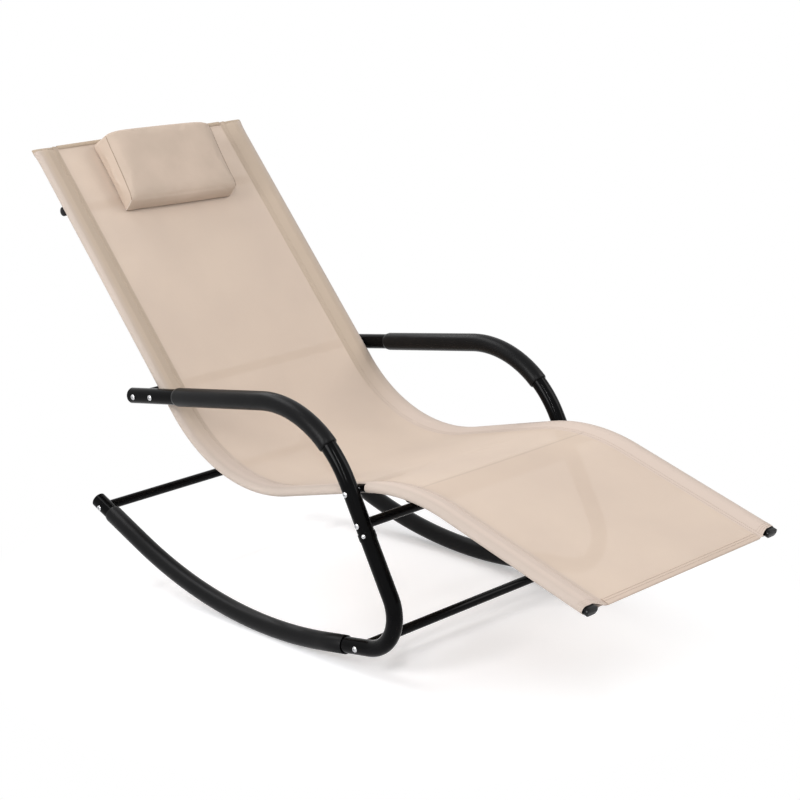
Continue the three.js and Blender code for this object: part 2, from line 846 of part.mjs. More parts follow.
// A boxy cushion: rounded seams, a crowned face and sides that draw in between its corners.
function headrest_pillow() {
  const [columns, rows, layers] = [16, 10, 5];
  const geometry = new THREE.BoxGeometry(2, 2, 2, columns, rows, layers);
  const position = geometry.getAttribute('position');
  const centre = rail_route.beside(pillow_middle, pillow_base);
  for (let index = 0; index < position.count; index += 1) {
    const [u, v, w] = [position.getX(index), position.getY(index), position.getZ(index)];
    const edge = THREE.MathUtils.lerp(pillow_foot_edge, pillow_head_edge, (1 + v) / 2);
    const half = [pillow_width / 2, pillow_length / 2, edge / 2];
    const flat = [u * half[0], v * half[1], w * half[2]];
    const core = flat.map((value, axis) =>
      THREE.MathUtils.clamp(value, pillow_corner - half[axis], half[axis] - pillow_corner),
    );
    const out = new THREE.Vector3(...flat.map((value, axis) => value - core[axis]));
    if (out.length() > pillow_corner) out.setLength(pillow_corner);
    const front = (1 + w) / 2;
    const seam_draw = v > 0 ? u ** 4 : 1;
    const dome = (1 - u ** 4) * (1 - ((1 - v) / 2) ** 2);
    const side = Math.sign(u) * Math.abs(u) ** 4;
    const end = Math.sign(v) * Math.abs(v) ** 4;
    const wide = core[0] + out.x - side * pillow_pinch * (1 - v * v)
      + side * pillow_side_crown * (1 - w * w) * (1 - v * v)
      - side * Math.max(v, 0) ** 4 * pillow_lean * front / 2;
    const high = core[1] + out.y - end * pillow_lean * front * seam_draw
      + end * pillow_side_crown * (1 - w * w) * (1 - u * u);
    const up = core[2] + out.z + half[2] + (w > 0 ? pillow_crown * dome * w : 0);
    const x = wide * Math.cos(pillow_turn) + high * Math.sin(pillow_turn);
    const along_back = high * Math.cos(pillow_turn) - wide * Math.sin(pillow_turn);
    position.setXYZ(
      index,
      pillow_offset + x,
      centre.y + Math.cos(back_heading) * along_back - Math.sin(back_heading) * up,
      centre.z + Math.sin(back_heading) * along_back + Math.cos(back_heading) * up,
    );
  }
  return geometry;
}

// The strap lies on the panel behind the pillow, turns over the sling's head end and hangs
// down the rear.
function pillow_strap() {
  const front = panel_top + clearance + strap_thickness / 2;
  const rear = rail_thickness / 2 + sleeve_offset + clearance + strap_thickness / 2;
  const turn_radius = (front + rear) / 2;
  const start = rail_route.beside(rail_length - strap_front_length, front);
  const route = new SideRoute(start.y, start.z, back_heading)
    .straight(strap_front_length + clearance)
    .bend(turn_radius, -Math.PI, 6)
    .straight(strap_back_length);
  const section = outline([
    new THREE.Vector2(-strap_width / 2, -strap_thickness / 2),
    new THREE.Vector2(strap_width / 2, -strap_thickness / 2),
    new THREE.Vector2(strap_width / 2, strap_thickness / 2),
    new THREE.Vector2(-strap_width / 2, strap_thickness / 2),
  ]);
  return sweep(section, route.corners, pillow_offset);
}

// The chair

const chair = new THREE.Group();

function add(name, geometry, look) {
  const mesh = new THREE.Mesh(closed(geometry), new THREE.MeshStandardMaterial(look));
  mesh.name = name;
  chair.add(mesh);
}

for (const [hand, side] of [['right', -1], ['left', 1]]) {
  add(`arm_tube_${hand}`, arm_tube(side), steel_black);
  add(`rocker_tube_${hand}`, rocker_tube(side), steel_black);
  add(`leg_coupler_${hand}`, leg_coupler(side), zinc);
  add(`arm_grip_${hand}`, arm_grip(side), foam_black);
  add(`rocker_sleeve_${hand}`, rocker_sleeve(side), foam_black);
  add(`arm_cap_${hand}`, arm_cap(side), plastic_black);
  add(`rocker_cap_${hand}`, rocker_cap(side), plastic_black);
  add(`back_rail_${hand}`, back_rail(side), steel_black);
  add(`seat_rail_${hand}`, seat_rail(side), steel_black);
  add(`rail_coupler_${hand}`, rail_coupler(side), zinc);
  add(`rail_foot_cap_${hand}`, rail_foot_cap(side), plastic_black);
  add(`rail_head_cap_${hand}`, rail_head_cap(side), plastic_black);
  add(`head_bar_cap_${hand}`, head_bar_cap(side), plastic_black);
  add(`side_sleeve_${hand}`, side_sleeve(side), pocket_beige);
  add(`back_bar_bolt_${hand}`, side_bolt(side, back_bar_place, bolt_length), zinc);
  add(`back_rail_bolt_${hand}`, side_bolt(side, back_bolt_place, rail_bolt_length), zinc);
  add(`seat_rail_bolt_${hand}`, side_bolt(side, seat_bolt_place, rail_bolt_length), zinc);
  add(`seat_bar_bolt_${hand}`, side_bolt(side, seat_bar_place, bolt_length), zinc);
  add(`front_bar_bolt_${hand}`, side_bolt(side, front_bar_place, bolt_length), zinc);
  add(`rear_bar_bolt_${hand}`, side_bolt(side, rear_bar_place, bolt_length), zinc);
  add(`joint_screw_${hand}`, joint_screw(side), zinc);
  add(`head_bar_bolt_${hand}`, head_bar_bolt(side), zinc);
  add(`back_rail_washer_${hand}`, rail_washer(side, back_bolt_place), zinc);
  add(`seat_rail_washer_${hand}`, rail_washer(side, seat_bolt_place), zinc);
}
add('crossbar_back', frame_bar(back_bar_place, bar_wall), steel_black);
add('crossbar_seat', frame_bar(seat_bar_place, step_bar_wall), steel_black);
add('crossbar_front', frame_bar(front_bar_place, step_bar_wall), steel_black);
add('crossbar_rear', frame_bar(rear_bar_place, bar_wall), steel_black);
add('crossbar_head', crossbar_head(), steel_black);
add('crossbar_knee', crossbar_knee(), steel_black);
add('sling_panel', sling_panel(), sling_beige);
add('headrest_pillow', headrest_pillow(), pillow_beige);
add('pillow_strap', pillow_strap(), pocket_beige);

// The origin lies on the floor, midway along the chair.
const extent = new THREE.Box3().setFromObject(chair);
chair.position.y = -(extent.min.y + extent.max.y) / 2;
chair.updateMatrixWorld(true);

export default chair;
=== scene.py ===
# Rocking chaise lounge: two bent steel side frames that end in rockers, cross tubes bolted between
# them, two flat-oval rails inside the side pockets of a mesh sling, and a head pillow.
# Lengths are in metres, +Z is up and -Y is the foot end.
import math
import bmesh
import bpy
from mathutils import Matrix, Vector


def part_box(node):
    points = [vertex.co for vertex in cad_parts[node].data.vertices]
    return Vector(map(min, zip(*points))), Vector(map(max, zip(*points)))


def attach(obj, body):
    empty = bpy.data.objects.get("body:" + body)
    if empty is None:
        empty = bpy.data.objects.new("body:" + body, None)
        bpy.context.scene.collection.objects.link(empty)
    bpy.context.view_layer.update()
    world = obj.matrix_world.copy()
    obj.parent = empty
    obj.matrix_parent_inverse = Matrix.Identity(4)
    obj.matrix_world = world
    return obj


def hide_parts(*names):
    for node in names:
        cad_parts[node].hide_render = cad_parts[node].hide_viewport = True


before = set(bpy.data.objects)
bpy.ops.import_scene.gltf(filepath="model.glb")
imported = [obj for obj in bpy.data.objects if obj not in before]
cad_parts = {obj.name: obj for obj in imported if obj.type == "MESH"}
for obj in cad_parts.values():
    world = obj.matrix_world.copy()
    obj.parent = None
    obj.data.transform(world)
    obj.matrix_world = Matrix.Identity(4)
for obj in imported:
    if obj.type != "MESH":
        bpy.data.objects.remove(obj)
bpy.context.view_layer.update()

bl_info = {
    "name": "Rocking chaise lounge",
    "version": (1, 0, 0),
    "blender": (4, 5, 0),
    "location": "View3D > Sidebar > Chaise",
    "description": "Builds a rocking chaise lounge with a mesh sling and a head pillow",
    "category": "Object",
}

SIDES = {"right": -1, "left": 1}
SIDEWAYS = Vector((1, 0, 0))


# Sizes and colours that a user may change


def length(default, text):
    return bpy.props.FloatProperty(description=text, default=default, unit="LENGTH", precision=4)


def angle(degrees, text):
    turn = math.radians(degrees)
    return bpy.props.FloatProperty(description=text, default=turn, unit="ROTATION")


def count(default, text):
    return bpy.props.IntProperty(description=text, default=default, min=3)


def share(default, text):
    return bpy.props.FloatProperty(description=text, default=default, subtype="FACTOR")


def colour(default, text):
    return bpy.props.StringProperty(description=text, default=default)


def labelled(group):
    """Names each property of a group after its key."""
    for key, prop in group.__annotations__.items():
        prop.keywords["name"] = key.replace("_", " ").capitalize()
    return group


@labelled
class FrameSizes(bpy.types.PropertyGroup):
    spacing: length(0.584, "Between the centres of the side frames")
    tube_diameter: length(0.031, "Outside of the side frame tube")
    tube_wall: length(0.0012, "Wall of the side frame's upper tube")
    rocker_wall: length(0.0015, "Wall of the side frame's lower tube")
    edge_round: length(0.0004, "Of the tubes' cut ends")
    plug_depth: length(0.012, "Of the plugs' stems in the tubes")
    plug_rim: length(0.0006, "Straight rim of those plugs")
    arm_dome: length(0.0035, "Height of the plug at the arm's end")
    rocker_dome: length(0.0035, "Height of the plug at the rocker's end")
    bar_dome: length(0.0025, "Height of the head tube's plugs")
    bar_wall: length(0.0012, "Wall of the cross tubes")
    bar_plug_depth: length(0.003, "Of the head tube's plugs in it")
    bar_plug_rim: length(0.0005, "Straight rim of those plugs")
    tube_sides: count(40, "Faces round a frame tube")
    arm_length: length(0.38156, "Straight arm behind its bend")
    arm_bend_radius: length(0.215, "To the tube's middle")
    arm_bend_angle: angle(70.8, "How far the arm turns down into the leg")
    leg_length: length(0.220, "Straight leg between the two bends")
    toe_bend_radius: length(0.0765, "To the tube's middle")
    toe_bend_angle: angle(109.3, "How far the leg turns into the rocker")
    rocker_front: length(0.117, "Straight tube behind the toe bend")
    rocker_radius: length(0.943, "To the tube's middle")
    rocker_angle: angle(32.85, "Of the rocker's arc")
    rocker_rear: length(0.1445, "Straight tube at the rocker's rear end")
    tail_length: length(0.0195, "Of the arm behind its cross tube")
    rear_bar_gap: length(0.0225, "From the rear cross tube to the tube's end")
    joint_drop: length(0.095, "From the arm bend to the joint in the leg")
    joint_flare: length(0.0012, "The lower tube is widened by this at the joint")
    joint_screw_drop: length(0.006, "From the joint to its screw")
    joint_screw_head: length(0.00803, "Diameter of the joint screw's head")
    joint_flare_length: length(0.012, "Of the widened mouth")
    joint_gap: length(0.0012, "Dark line between the two tubes of a side frame")
    seat_bar_drop: length(0.080, "From the arm bend to the seat tube")
    front_bar_gap: length(0.0215, "From the toe bend to the front tube")
    cope_gap: length(0.0003, "Between a cross tube's end and the side frame")
    fit_gap: length(0.0003, "Between parts that lie against each other")
    foam_gap: length(0.0002, "Between the tube and the foam over it")
    foam_round: length(0.0012, "Of the grips' ends")
    grip_start: length(0.1365, "From the arm's rear end to the grip")
    grip_bend_gap: length(0.076, "Bare end of the arm bend")
    grip_diameter: length(0.0366, "Outside of the foam grip")
    runner_diameter: length(0.036, "Outside of the rocker's rubber runner")
    runner_front_gap: length(0.060, "From the toe bend to the runner")
    runner_rear_gap: length(0.0455, "From the runner to the tube's end")
    runner_lip: length(0.0020, "Open gap round the tube at the runner's mouth")
    runner_lip_depth: length(0.010, "How far in that gap goes")
    bar_diameter: length(0.019, "Outside of the cross tubes")
    bar_sides: count(32, "Faces round a cross tube")
    bolt_head: length(0.011, "Diameter of a bolt's head")
    bolt_head_height: length(0.0032, "Of the domed head")


@labelled
class SlingSizes(bpy.types.PropertyGroup):
    foot_straight: length(0.3356, "Rail from the foot caps to the knee bend")
    knee_radius: length(0.3856, "To the rail's middle")
    knee_angle: angle(31.05, "How far the rail turns down over the knee")
    seat_straight: length(0.2056, "Rail between the two bends")
    seat_radius: length(0.3068, "To the rail's middle")
    seat_angle: angle(63.9, "How far the rail turns up into the back")
    back_straight: length(0.6213, "Rail up to the sling's head end")
    seat_bolt_gap: length(0.0005, "From the knee bend to the seat bolt")
    back_bolt_gap: length(0.5795, "From the back bolt to the head end")
    bolt_drop: length(0.0028, "The rail bolts pass this far below its middle")
    rail_width: length(0.030, "Of the flat-oval rail")
    rail_thickness: length(0.015, "Of the flat-oval rail")
    rail_gap: length(0.0015, "Between the rail and the frame tube")
    rail_joint_station: length(0.64737, "From the foot caps to the rails' joint")
    rail_head_gap: length(0.014, "From the rails' caps to the sling's head end")
    seat_rail_wall: length(0.0015, "Wall of the seat rails")
    back_rail_wall: length(0.0012, "Wall of the back rails")
    cap_stem: length(0.012, "Of the flat-oval plugs in the rails")
    cap_stem_inset: length(0.0021, "From the rail's outside to that stem")
    cap_stem_gap: length(0.0002, "Between that stem and the plug's head")
    cap_head: length(0.0054, "Of the flat-oval plugs outside the rails")
    cap_face: length(0.0006, "Height of the raised face on that head")
    cap_face_inset: length(0.0022, "From the head's edge to the raised face")
    cap_edge: length(0.0011, "Radius of the head's edges")
    head_bar_gap: length(0.138, "From the head tube to the sling's head end")
    head_bar_overhang: length(0.007, "Of the head tube past a rail's middle")
    cloth: length(0.0008, "Thickness of the mesh cloth")
    panel_lift: length(0.0015, "The panel's cloth lies this high over the rails' plane")
    pucker: length(0.0004, "Height of the small folds along the seams")
    fold_length: length(0.10, "Of the panel's shallow folds")
    corner_flare: length(0.005, "The pockets' head corners stand out by this")
    corner_flare_length: length(0.035, "Of the pulled corners")
    corner_press: length(0.0075, "The pocket's head end is sewn flat over this")
    foot_curve: length(0.034, "Of the cloth's cut round the foot caps")
    foot_close: length(0.023, "The pocket's two layers meet within this at the foot")
    flap_tone: length(0.046, "Width of the darker double cloth beside a rail")
    flap_slope: share(0.2232, "Rise of the pocket's cloth towards the rail")
    cloth_gap: length(0.0003, "Between the cloth and the rail")
    pocket_width: length(0.056, "From the outer edge to the sewn edge")
    seam_overlap: length(0.012, "The panel lies this far over the pocket")
    foot_gap: length(0.010, "From the foot caps' faces to the pocket")
    panel_gap: length(0.001, "From the foot caps' faces to the panel")
    seat_notch: length(0.036, "Opening in the pocket at the seat bolt")
    back_notch: length(0.018, "Opening in the pocket at the back bolt")
    leg_sag: length(0.006, "Of the panel, halfway along the leg part")
    knee_sag: length(0.0017, "Of the panel over the knee tube")
    seat_sag: length(0.011, "Of the panel in front of the seat bend")
    back_sag: length(0.005, "Of the panel, halfway up the back")
    crease: length(0.0026, "Height of the panel's crease over the knee tube")
    crease_width: length(0.012, "Of that crease")
    foot_hem: length(0.016, "Width of the folded foot hem")
    head_hem: length(0.007, "Width of the rolled head hem")
    stitch_pitch: length(0.0045, "From one stitch to the next")
    stitch_length: length(0.0030, "Of one stitch")
    thread_diameter: length(0.0007, "Of the sewing thread")


@labelled
class PillowSizes(bpy.types.PropertyGroup):
    width: length(0.284, "Across the backrest")
    height: length(0.165, "Along the backrest")
    head_edge: length(0.051, "Thickness at the upper corners")
    foot_edge: length(0.039, "Thickness at the lower seam")
    crown: length(0.008, "How far the face stands over its corners")
    side_crown: length(0.004, "How far the sides stand out")
    pinch: length(0.003, "How far the sides draw in between the corners")
    lean: length(0.006, "The front seams lie this far inside the rear ones")
    corner: length(0.0045, "Radius of the rounded seams")
    lower_roll: length(0.004, "The front face drops by this at its lower edge")
    seam_thread: length(0.0014, "Diameter of the seams' thread")
    turn: angle(2.0, "It lies a little askew")
    offset: length(0.001, "To the sitter's left of the middle")
    base: length(0.0037, "The pillow lies this high over the rails' plane")
    voxel: length(0.004, "Face size of the cover while it is filled")
    head_gap: length(0.0165, "From the pillow to the sling's head end")
    swell: length(0.0022, "The most that the filling moves a point")
    strap_width: length(0.160, "Of the strap over the head end")
    strap_thickness: length(0.0012, "Of the strap")
    strap_front: length(0.120, "Strap behind the pillow")
    strap_back: length(0.090, "Strap down the rear")


@labelled
class Colours(bpy.types.PropertyGroup):
    coating: colour("#050506", "Black powder coat")
    foam: colour("#0e0e0f", "Dark grey foam and rubber")
    plastic: colour("#101012", "Moulded black plastic")
    zinc: colour("#d4d5d7", "Bright zinc plate")
    cloth: colour("#dac7b6", "Woven mesh, one layer")
    double_cloth: colour("#d9c8bc", "Woven mesh over another layer")
    # Painted shade: the double cloth darkened up the backrest
    back_double: colour("#c8b6a4", "The same up the backrest")
    pocket: colour("#ccbdb2", "Woven mesh round the rails")
    hem: colour("#cdbaab", "Woven mesh folded into the foot hem")
    head_hem: colour("#b9a793", "Woven mesh rolled into the head hem")
    pillow: colour("#c3b1a2", "Pillow cover")
    strap: colour("#c9b8a8", "Strap of the pillow")
    thread: colour("#b7a595", "Sewing thread")
    seam_thread: colour("#7c6957", "Thread of the pillow's seams")
    light_thread: colour("#e9e0d8", "Thread of the pillow's corners")
    floor: colour("#e6e6e6", "Studio floor")
    floor_seen: colour("#eeeef0", "What the lift to white is added to")
    open_share: share(0.18, "Light that passes each face of the mesh cloth")


@labelled
class StageSizes(bpy.types.PropertyGroup):
    camera_place: bpy.props.FloatVectorProperty(
        description="Where the camera stands", default=(-2.7972, -2.7254, 1.5601), unit="LENGTH"
    )
    camera_heading: angle(-46.168, "From +Y towards -X, so this is to the right")
    camera_pitch: angle(16.416, "How far it looks down")
    lens: bpy.props.FloatProperty(
        description="Focal length in mm on a 36 mm sensor", default=94.365, unit="CAMERA"
    )
    floor_size: length(60.0, "Length of the floor's sides")
    floor_drop: length(0.0004, "How far the floor lies under the rockers")
    fade_start: length(0.38, "Distance from the middle where the floor starts to turn white")
    fade_end: length(0.85, "Distance from the middle where the floor is white")
    floor_lift: share(0.30, "Added to the floor that the camera sees")
    room_light: share(0.44, "Strength of the light from all round")


def sizes_of(name):
    """The sizes or colours of one part of the chaise."""
    return getattr(bpy.context.scene, "chaise_" + name)


# Routes in the side view


class SideRoute:
    """A line in the side view, of straights and arcs, measured by the length along it."""

    def __init__(self):
        self.legs = []
        self.place = Vector((0.0, 0.0))
        self.heading = 0.0

    def straight(self, distance):
        self.legs.append((distance, 0.0))
        return self

    def bend(self, radius, turn):
        self.legs.append((radius * abs(turn), turn))
        return self

    @property
    def length(self):
        return sum(leg[0] for leg in self.legs)

    def at(self, station):
        """The point at a station, as (y, z), and the heading there."""
        place, heading, left = self.place.copy(), self.heading, station
        for index, (distance, turn) in enumerate(self.legs):
            last = index == len(self.legs) - 1
            step = left if last else min(left, distance)
            if turn == 0:
                place = place + step * Vector((math.cos(heading), math.sin(heading)))
            else:
                bent = turn * step / distance
                radius = distance / turn
                place = place + radius * Vector(
                    (
                        math.sin(heading + bent) - math.sin(heading),
                        math.cos(heading) - math.cos(heading + bent),
                    )
                )
                heading += bent
            left -= step
            if left <= 0:
                break
        return place, heading

    def beside(self, station, height):
        """The point that stands this high over the line, on its left."""
        place, heading = self.at(station)
        return place + height * Vector((-math.sin(heading), math.cos(heading)))

    def point(self, station, x=0.0, height=0.0):
        y, z = self.beside(station, height)
        return Vector((x, y, z))

    def along(self, station):
        heading = self.at(station)[1]
        return Vector((0.0, math.cos(heading), math.sin(heading)))

    def normal(self, station):
        heading = self.at(station)[1]
        return Vector((0.0, -math.sin(heading), math.cos(heading)))

    def hang(self, first, second):
        """Turns and moves the line so that two of its places, as (station, height, x y z of the
        real one), lie where the frame has them."""
        here = [self.beside(station, height) for station, height, _ in (first, second)]
        there = [Vector((real.y, real.z)) for _, _, real in (first, second)]
        old, new = here[1] - here[0], there[1] - there[0]
        self.heading += math.atan2(new.y, new.x) - math.atan2(old.y, old.x)
        moved = self.beside(first[0], first[1])
        self.place = self.place + there[0] - moved
        return self

    def stretches(self, start, end):
        """The straights and arcs from start to end, as (first station, last station, turn)."""
        found, reached = [], 0.0
        for distance, turn in self.legs:
            low, high = max(reached, min(start, end)), min(reached + distance, max(start, end))
            if high - low > 1e-9:
                found.append((low, high, turn * (high - low) / distance))
            reached += distance
        if start > end:
            found = [(high, low, -turn) for low, high, turn in reversed(found)]
        return found

    def stations(self, start, end, spacing):
        """Stations from start to end, evenly spaced, no further apart than spacing."""
        steps = max(1, math.ceil((end - start) / spacing))
        return [start + (end - start) * step / steps for step in range(steps + 1)]


def middle(node):
    low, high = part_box(node)
    return (low + high) / 2


def frame_route():
    s = sizes_of("frame")
    route = SideRoute().straight(s.arm_length).bend(s.arm_bend_radius, s.arm_bend_angle)
    route.straight(s.leg_length).bend(s.toe_bend_radius, s.toe_bend_angle)
    route.straight(s.rocker_front).bend(s.rocker_radius, s.rocker_angle)
    route.straight(s.rocker_rear)
    return route.hang(
        (s.tail_length, 0.0, middle("back_bar_bolt_right")),
        (route.length - s.rear_bar_gap, 0.0, middle("rear_bar_bolt_right")),
    )


def frame_stations():
    """Stations of the frame's bends and joint."""
    s = sizes_of("frame")
    arm_bend_end = s.arm_length + s.arm_bend_radius * s.arm_bend_angle
    toe_bend_end = arm_bend_end + s.leg_length + s.toe_bend_radius * s.toe_bend_angle
    return arm_bend_end, toe_bend_end, arm_bend_end + s.joint_drop


def rail_route():
    s = sizes_of("sling")
    route = SideRoute().straight(s.foot_straight).bend(s.knee_radius, -s.knee_angle)
    route.straight(s.seat_straight).bend(s.seat_radius, s.seat_angle).straight(s.back_straight)
    return route.hang(
        (seat_bolt_station(), -s.bolt_drop, middle("seat_rail_bolt_right")),
        (route.length - s.back_bolt_gap, -s.bolt_drop, middle("back_rail_bolt_right")),
    )


def seat_bolt_station():
    s = sizes_of("sling")
    return s.foot_straight + s.knee_radius * s.knee_angle + s.seat_bolt_gap


def rail_x():
    f, s = sizes_of("frame"), sizes_of("sling")
    return f.spacing / 2 - f.tube_diameter / 2 - s.rail_gap - s.rail_width / 2


# Modelling helpers


def deselect_all():
    if bpy.context.mode != "OBJECT":
        bpy.ops.object.mode_set(mode="OBJECT")
    bpy.ops.object.select_all(action="DESELECT")


def make_active(piece):
    deselect_all()
    piece.select_set(True)
    bpy.context.view_layer.objects.active = piece


def edit(piece):
    make_active(piece)
    bpy.ops.object.mode_set(mode="EDIT")


def stop_edit():
    bpy.ops.object.mode_set(mode="OBJECT")


def settle(piece):
    """Moves a piece's place, turn and scale into its mesh."""
    make_active(piece)
    bpy.ops.object.transform_apply(location=True, rotation=True, scale=True)


def face_outwards(piece):
    edit(piece)
    bpy.ops.mesh.select_all(action="SELECT")
    bpy.ops.mesh.remove_doubles(threshold=1e-6)
    bpy.ops.mesh.normals_make_consistent(inside=False)
    stop_edit()


def apply_modifier(piece, kind, **settings):
    make_active(piece)
    modifier = piece.modifiers.new(kind.title(), kind)
    for key, value in settings.items():
        setattr(modifier, key, value)
    bpy.ops.object.modifier_apply(modifier=modifier.name)


def smooth(piece, degrees=40):
    make_active(piece)
    bpy.ops.object.shade_smooth_by_angle(angle=math.radians(degrees))


def dress(piece, name, finish, body="chair"):
    """Names a finished piece, gives it its finish and lets it move with its body."""
    piece.name = piece.data.name = name
    piece.data.materials.clear()
    piece.data.materials.append(finish_named(finish))
    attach(piece, body)
    return piece


def stand_in(piece, node_name, finish, degrees=40, body="chair"):
    """Dresses a piece that is seen in place of a solid."""
    smooth(piece, degrees)
    dress(piece, node_name + "_fine", finish, body)
    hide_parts(node_name)


def push(step):
    """Extrudes what is selected and moves it by step."""
    bpy.ops.mesh.extrude_region_move(TRANSFORM_OT_translate={"value": step})


def widen(ratio, centre):
    bpy.ops.transform.resize(value=ratio, center_override=centre)


def ring(sides, radius, place, direction):
    """Adds a circle across a direction and goes into edit mode with it selected."""
    deselect_all()
    turn = direction.to_track_quat("Z", "X").to_euler()
    bpy.ops.mesh.primitive_circle_add(
        vertices=sides, radius=radius, location=place, rotation=turn
    )
    piece = bpy.context.object
    settle(piece)
    edit(piece)
    bpy.ops.mesh.select_all(action="SELECT")
    return piece


ARC_DEVIATION = 0.00005


def travel(route, x, start, end):
    """Extrudes what is selected along the straights of a route and spins it round its bends."""
    if start == end:
        push(Vector((0.0, 0.0, 0.0)))
    for first, last, turn in route.stretches(start, end):
        if turn == 0:
            push(route.point(last, x) - route.point(first, x))
            continue
        radius = (last - first) / turn
        step = 2 * math.acos(1 - ARC_DEVIATION / abs(radius))
        bpy.ops.mesh.spin(
            steps=math.ceil(abs(turn) / step),
            angle=-turn,
            center=route.point(first, x, radius),
            axis=(1, 0, 0),
        )


def sweep(route, x, outline, sides):
    """A round wall along a route. A ring goes through the (station, radius) places of its
    outline and ends where it began, so the wall has an inside and an outside."""
    station, radius = outline[0]
    piece = ring(sides, radius, route.point(station, x), route.along(station))
    for next_station, next_radius in (*outline[1:], outline[0]):
        travel(route, x, station, next_station)
        ratio = next_radius / radius
        widen((ratio, ratio, ratio), route.point(next_station, x))
        station, radius = next_station, next_radius
    stop_edit()
    face_outwards(piece)
    return piece


def turned(steps, sides):
    """A solid turned round the Z axis from its (height, radius) steps, from below to above."""
    deselect_all()
    height, radius = steps[0]
    bpy.ops.mesh.primitive_circle_add(
        vertices=sides, radius=radius, location=(0, 0, height), fill_type="NGON"
    )
    piece = bpy.context.object
    settle(piece)
    edit(piece)
    bpy.ops.mesh.select_all(action="SELECT")
    for next_height, next_radius in steps[1:]:
        push(Vector((0, 0, next_height - height)))
        ratio = next_radius / radius
        widen((ratio, ratio, 1), (0, 0, next_height))
        height, radius = next_height, next_radius
    stop_edit()
    face_outwards(piece)
    return piece


def dome(radius, height, base=0.0, steps=6):
    """The (height, radius) steps of a dome on a round base."""
    quarter = math.pi / 2
    angles = [quarter * 0.94 * step / steps for step in range(1, steps + 1)]
    return [(base + height * math.sin(a), radius * math.cos(a)) for a in angles]


# A plug's stem is this much smaller than its bore in radius, at its tip and at its root
STEM_GAPS = (0.0005, 0.0002)
# Half the height of the step from a plug's stem to its rim
HALF_STEP = 0.0001


def end_plug(radius, bore, depth, rim, height, sides):
    """A tube's plug on the Z axis: a stem, a step over the tube's end, a rim and a dome."""
    tip, root = STEM_GAPS
    steps = [(-depth, bore - tip), (-HALF_STEP, bore - root)]
    steps += [(HALF_STEP, radius - sizes_of("frame").edge_round), (rim, radius)]
    return turned(steps + dome(radius, height, rim), sides)


def seat(piece, place, direction, sideways=SIDEWAYS):
    """Stands a piece made on the Z axis at a place, along a direction."""
    up = direction.normalized()
    across = (sideways - sideways.dot(up) * up).normalized()
    turn = Matrix((across, up.cross(across), up)).transposed()
    piece.matrix_world = Matrix.Translation(place) @ turn.to_4x4()
    settle(piece)
    return piece


def copy_of(piece):
    make_active(piece)
    bpy.ops.object.duplicate(linked=False)
    return bpy.context.object


def remove(piece):
    bpy.data.objects.remove(piece, do_unlink=True)


def cloth_grid(columns, rows, place):
    """A grid of cloth. Columns and rows are its flat measures, which become its UV map, and
    place puts each of its points where it hangs."""
    deselect_all()
    last = (len(columns) - 1, len(rows) - 1)
    bpy.ops.mesh.primitive_grid_add(x_subdivisions=last[0], y_subdivisions=last[1], size=2)
    piece = bpy.context.object
    mesh = piece.data
    uv_map = mesh.uv_layers.active or mesh.uv_layers.new(name="flat")
    uv_map.name = "flat"
    spots = [
        (round((v.co.x + 1) / 2 * last[0]), round((v.co.y + 1) / 2 * last[1]))
        for v in mesh.vertices
    ]
    for corner in mesh.loops:
        i, j = spots[corner.vertex_index]
        uv_map.data[corner.index].uv = (columns[i], rows[j])
    for vertex, (i, j) in zip(mesh.vertices, spots):
        vertex.co = place(columns[i], rows[j])
    return piece


def thicken(piece, thickness, offset=0.0):
    """Gives a sheet its thickness, about its middle or, with an offset of -1, inwards."""
    settings = {"thickness": thickness, "offset": offset, "use_even_offset": True}
    apply_modifier(piece, "SOLIDIFY", **settings)


def face_outwards_of(piece, centre):
    """Turns a sheet's faces away from a line through a point."""
    total = 0.0
    for face in piece.data.polygons:
        away = face.center - centre
        away.x = 0.0
        total += face.normal.dot(away)
    if total < 0:
        piece.data.flip_normals()


def spaced(start, end, pitch):
    """Evenly spaced values from start to end, about a pitch apart."""
    steps = max(1, round(abs(end - start) / pitch))
    return [start + (end - start) * k / steps for k in range(steps + 1)]


def measured(points):
    """The points of a line, each under its length along the line."""
    spots, reach = {0.0: points[0]}, 0.0
    for before, after in zip(points, points[1:]):
        reach += math.dist(before, after)
        spots[reach] = after
    return spots


def bell(distance, width):
    return math.exp(-((distance / width) ** 2))


def eased(t):
    """Goes from 0 to 1 as t does, but starts and stops gently."""
    return t * t * (3 - 2 * t)


def stitch_rows(places, diameter=None):
    """Machine stitches. One stitch is modelled once and copied along each row of places, which
    are points with the direction of the row and the way the cloth faces."""
    s = sizes_of("sling")
    half, radius = s.stitch_length / 2, (diameter or s.thread_diameter) / 2
    steps = [(-half, radius * 0.35), (-half * 0.62, radius), (half * 0.62, radius)]
    stitch = turned([*steps, (half, radius * 0.35)], 6)
    row = bmesh.new()
    for point, along, facing in places:
        up = along.normalized()
        out = (facing - facing.dot(up) * up).normalized()
        turn = Matrix((up.cross(out), out, up)).transposed()
        stand = Matrix.Translation(point) @ turn.to_4x4()
        stitch.data.transform(stand)
        row.from_mesh(stitch.data)
        stitch.data.transform(stand.inverted())
    row.to_mesh(stitch.data)
    row.free()
    smooth(stitch)
    return stitch


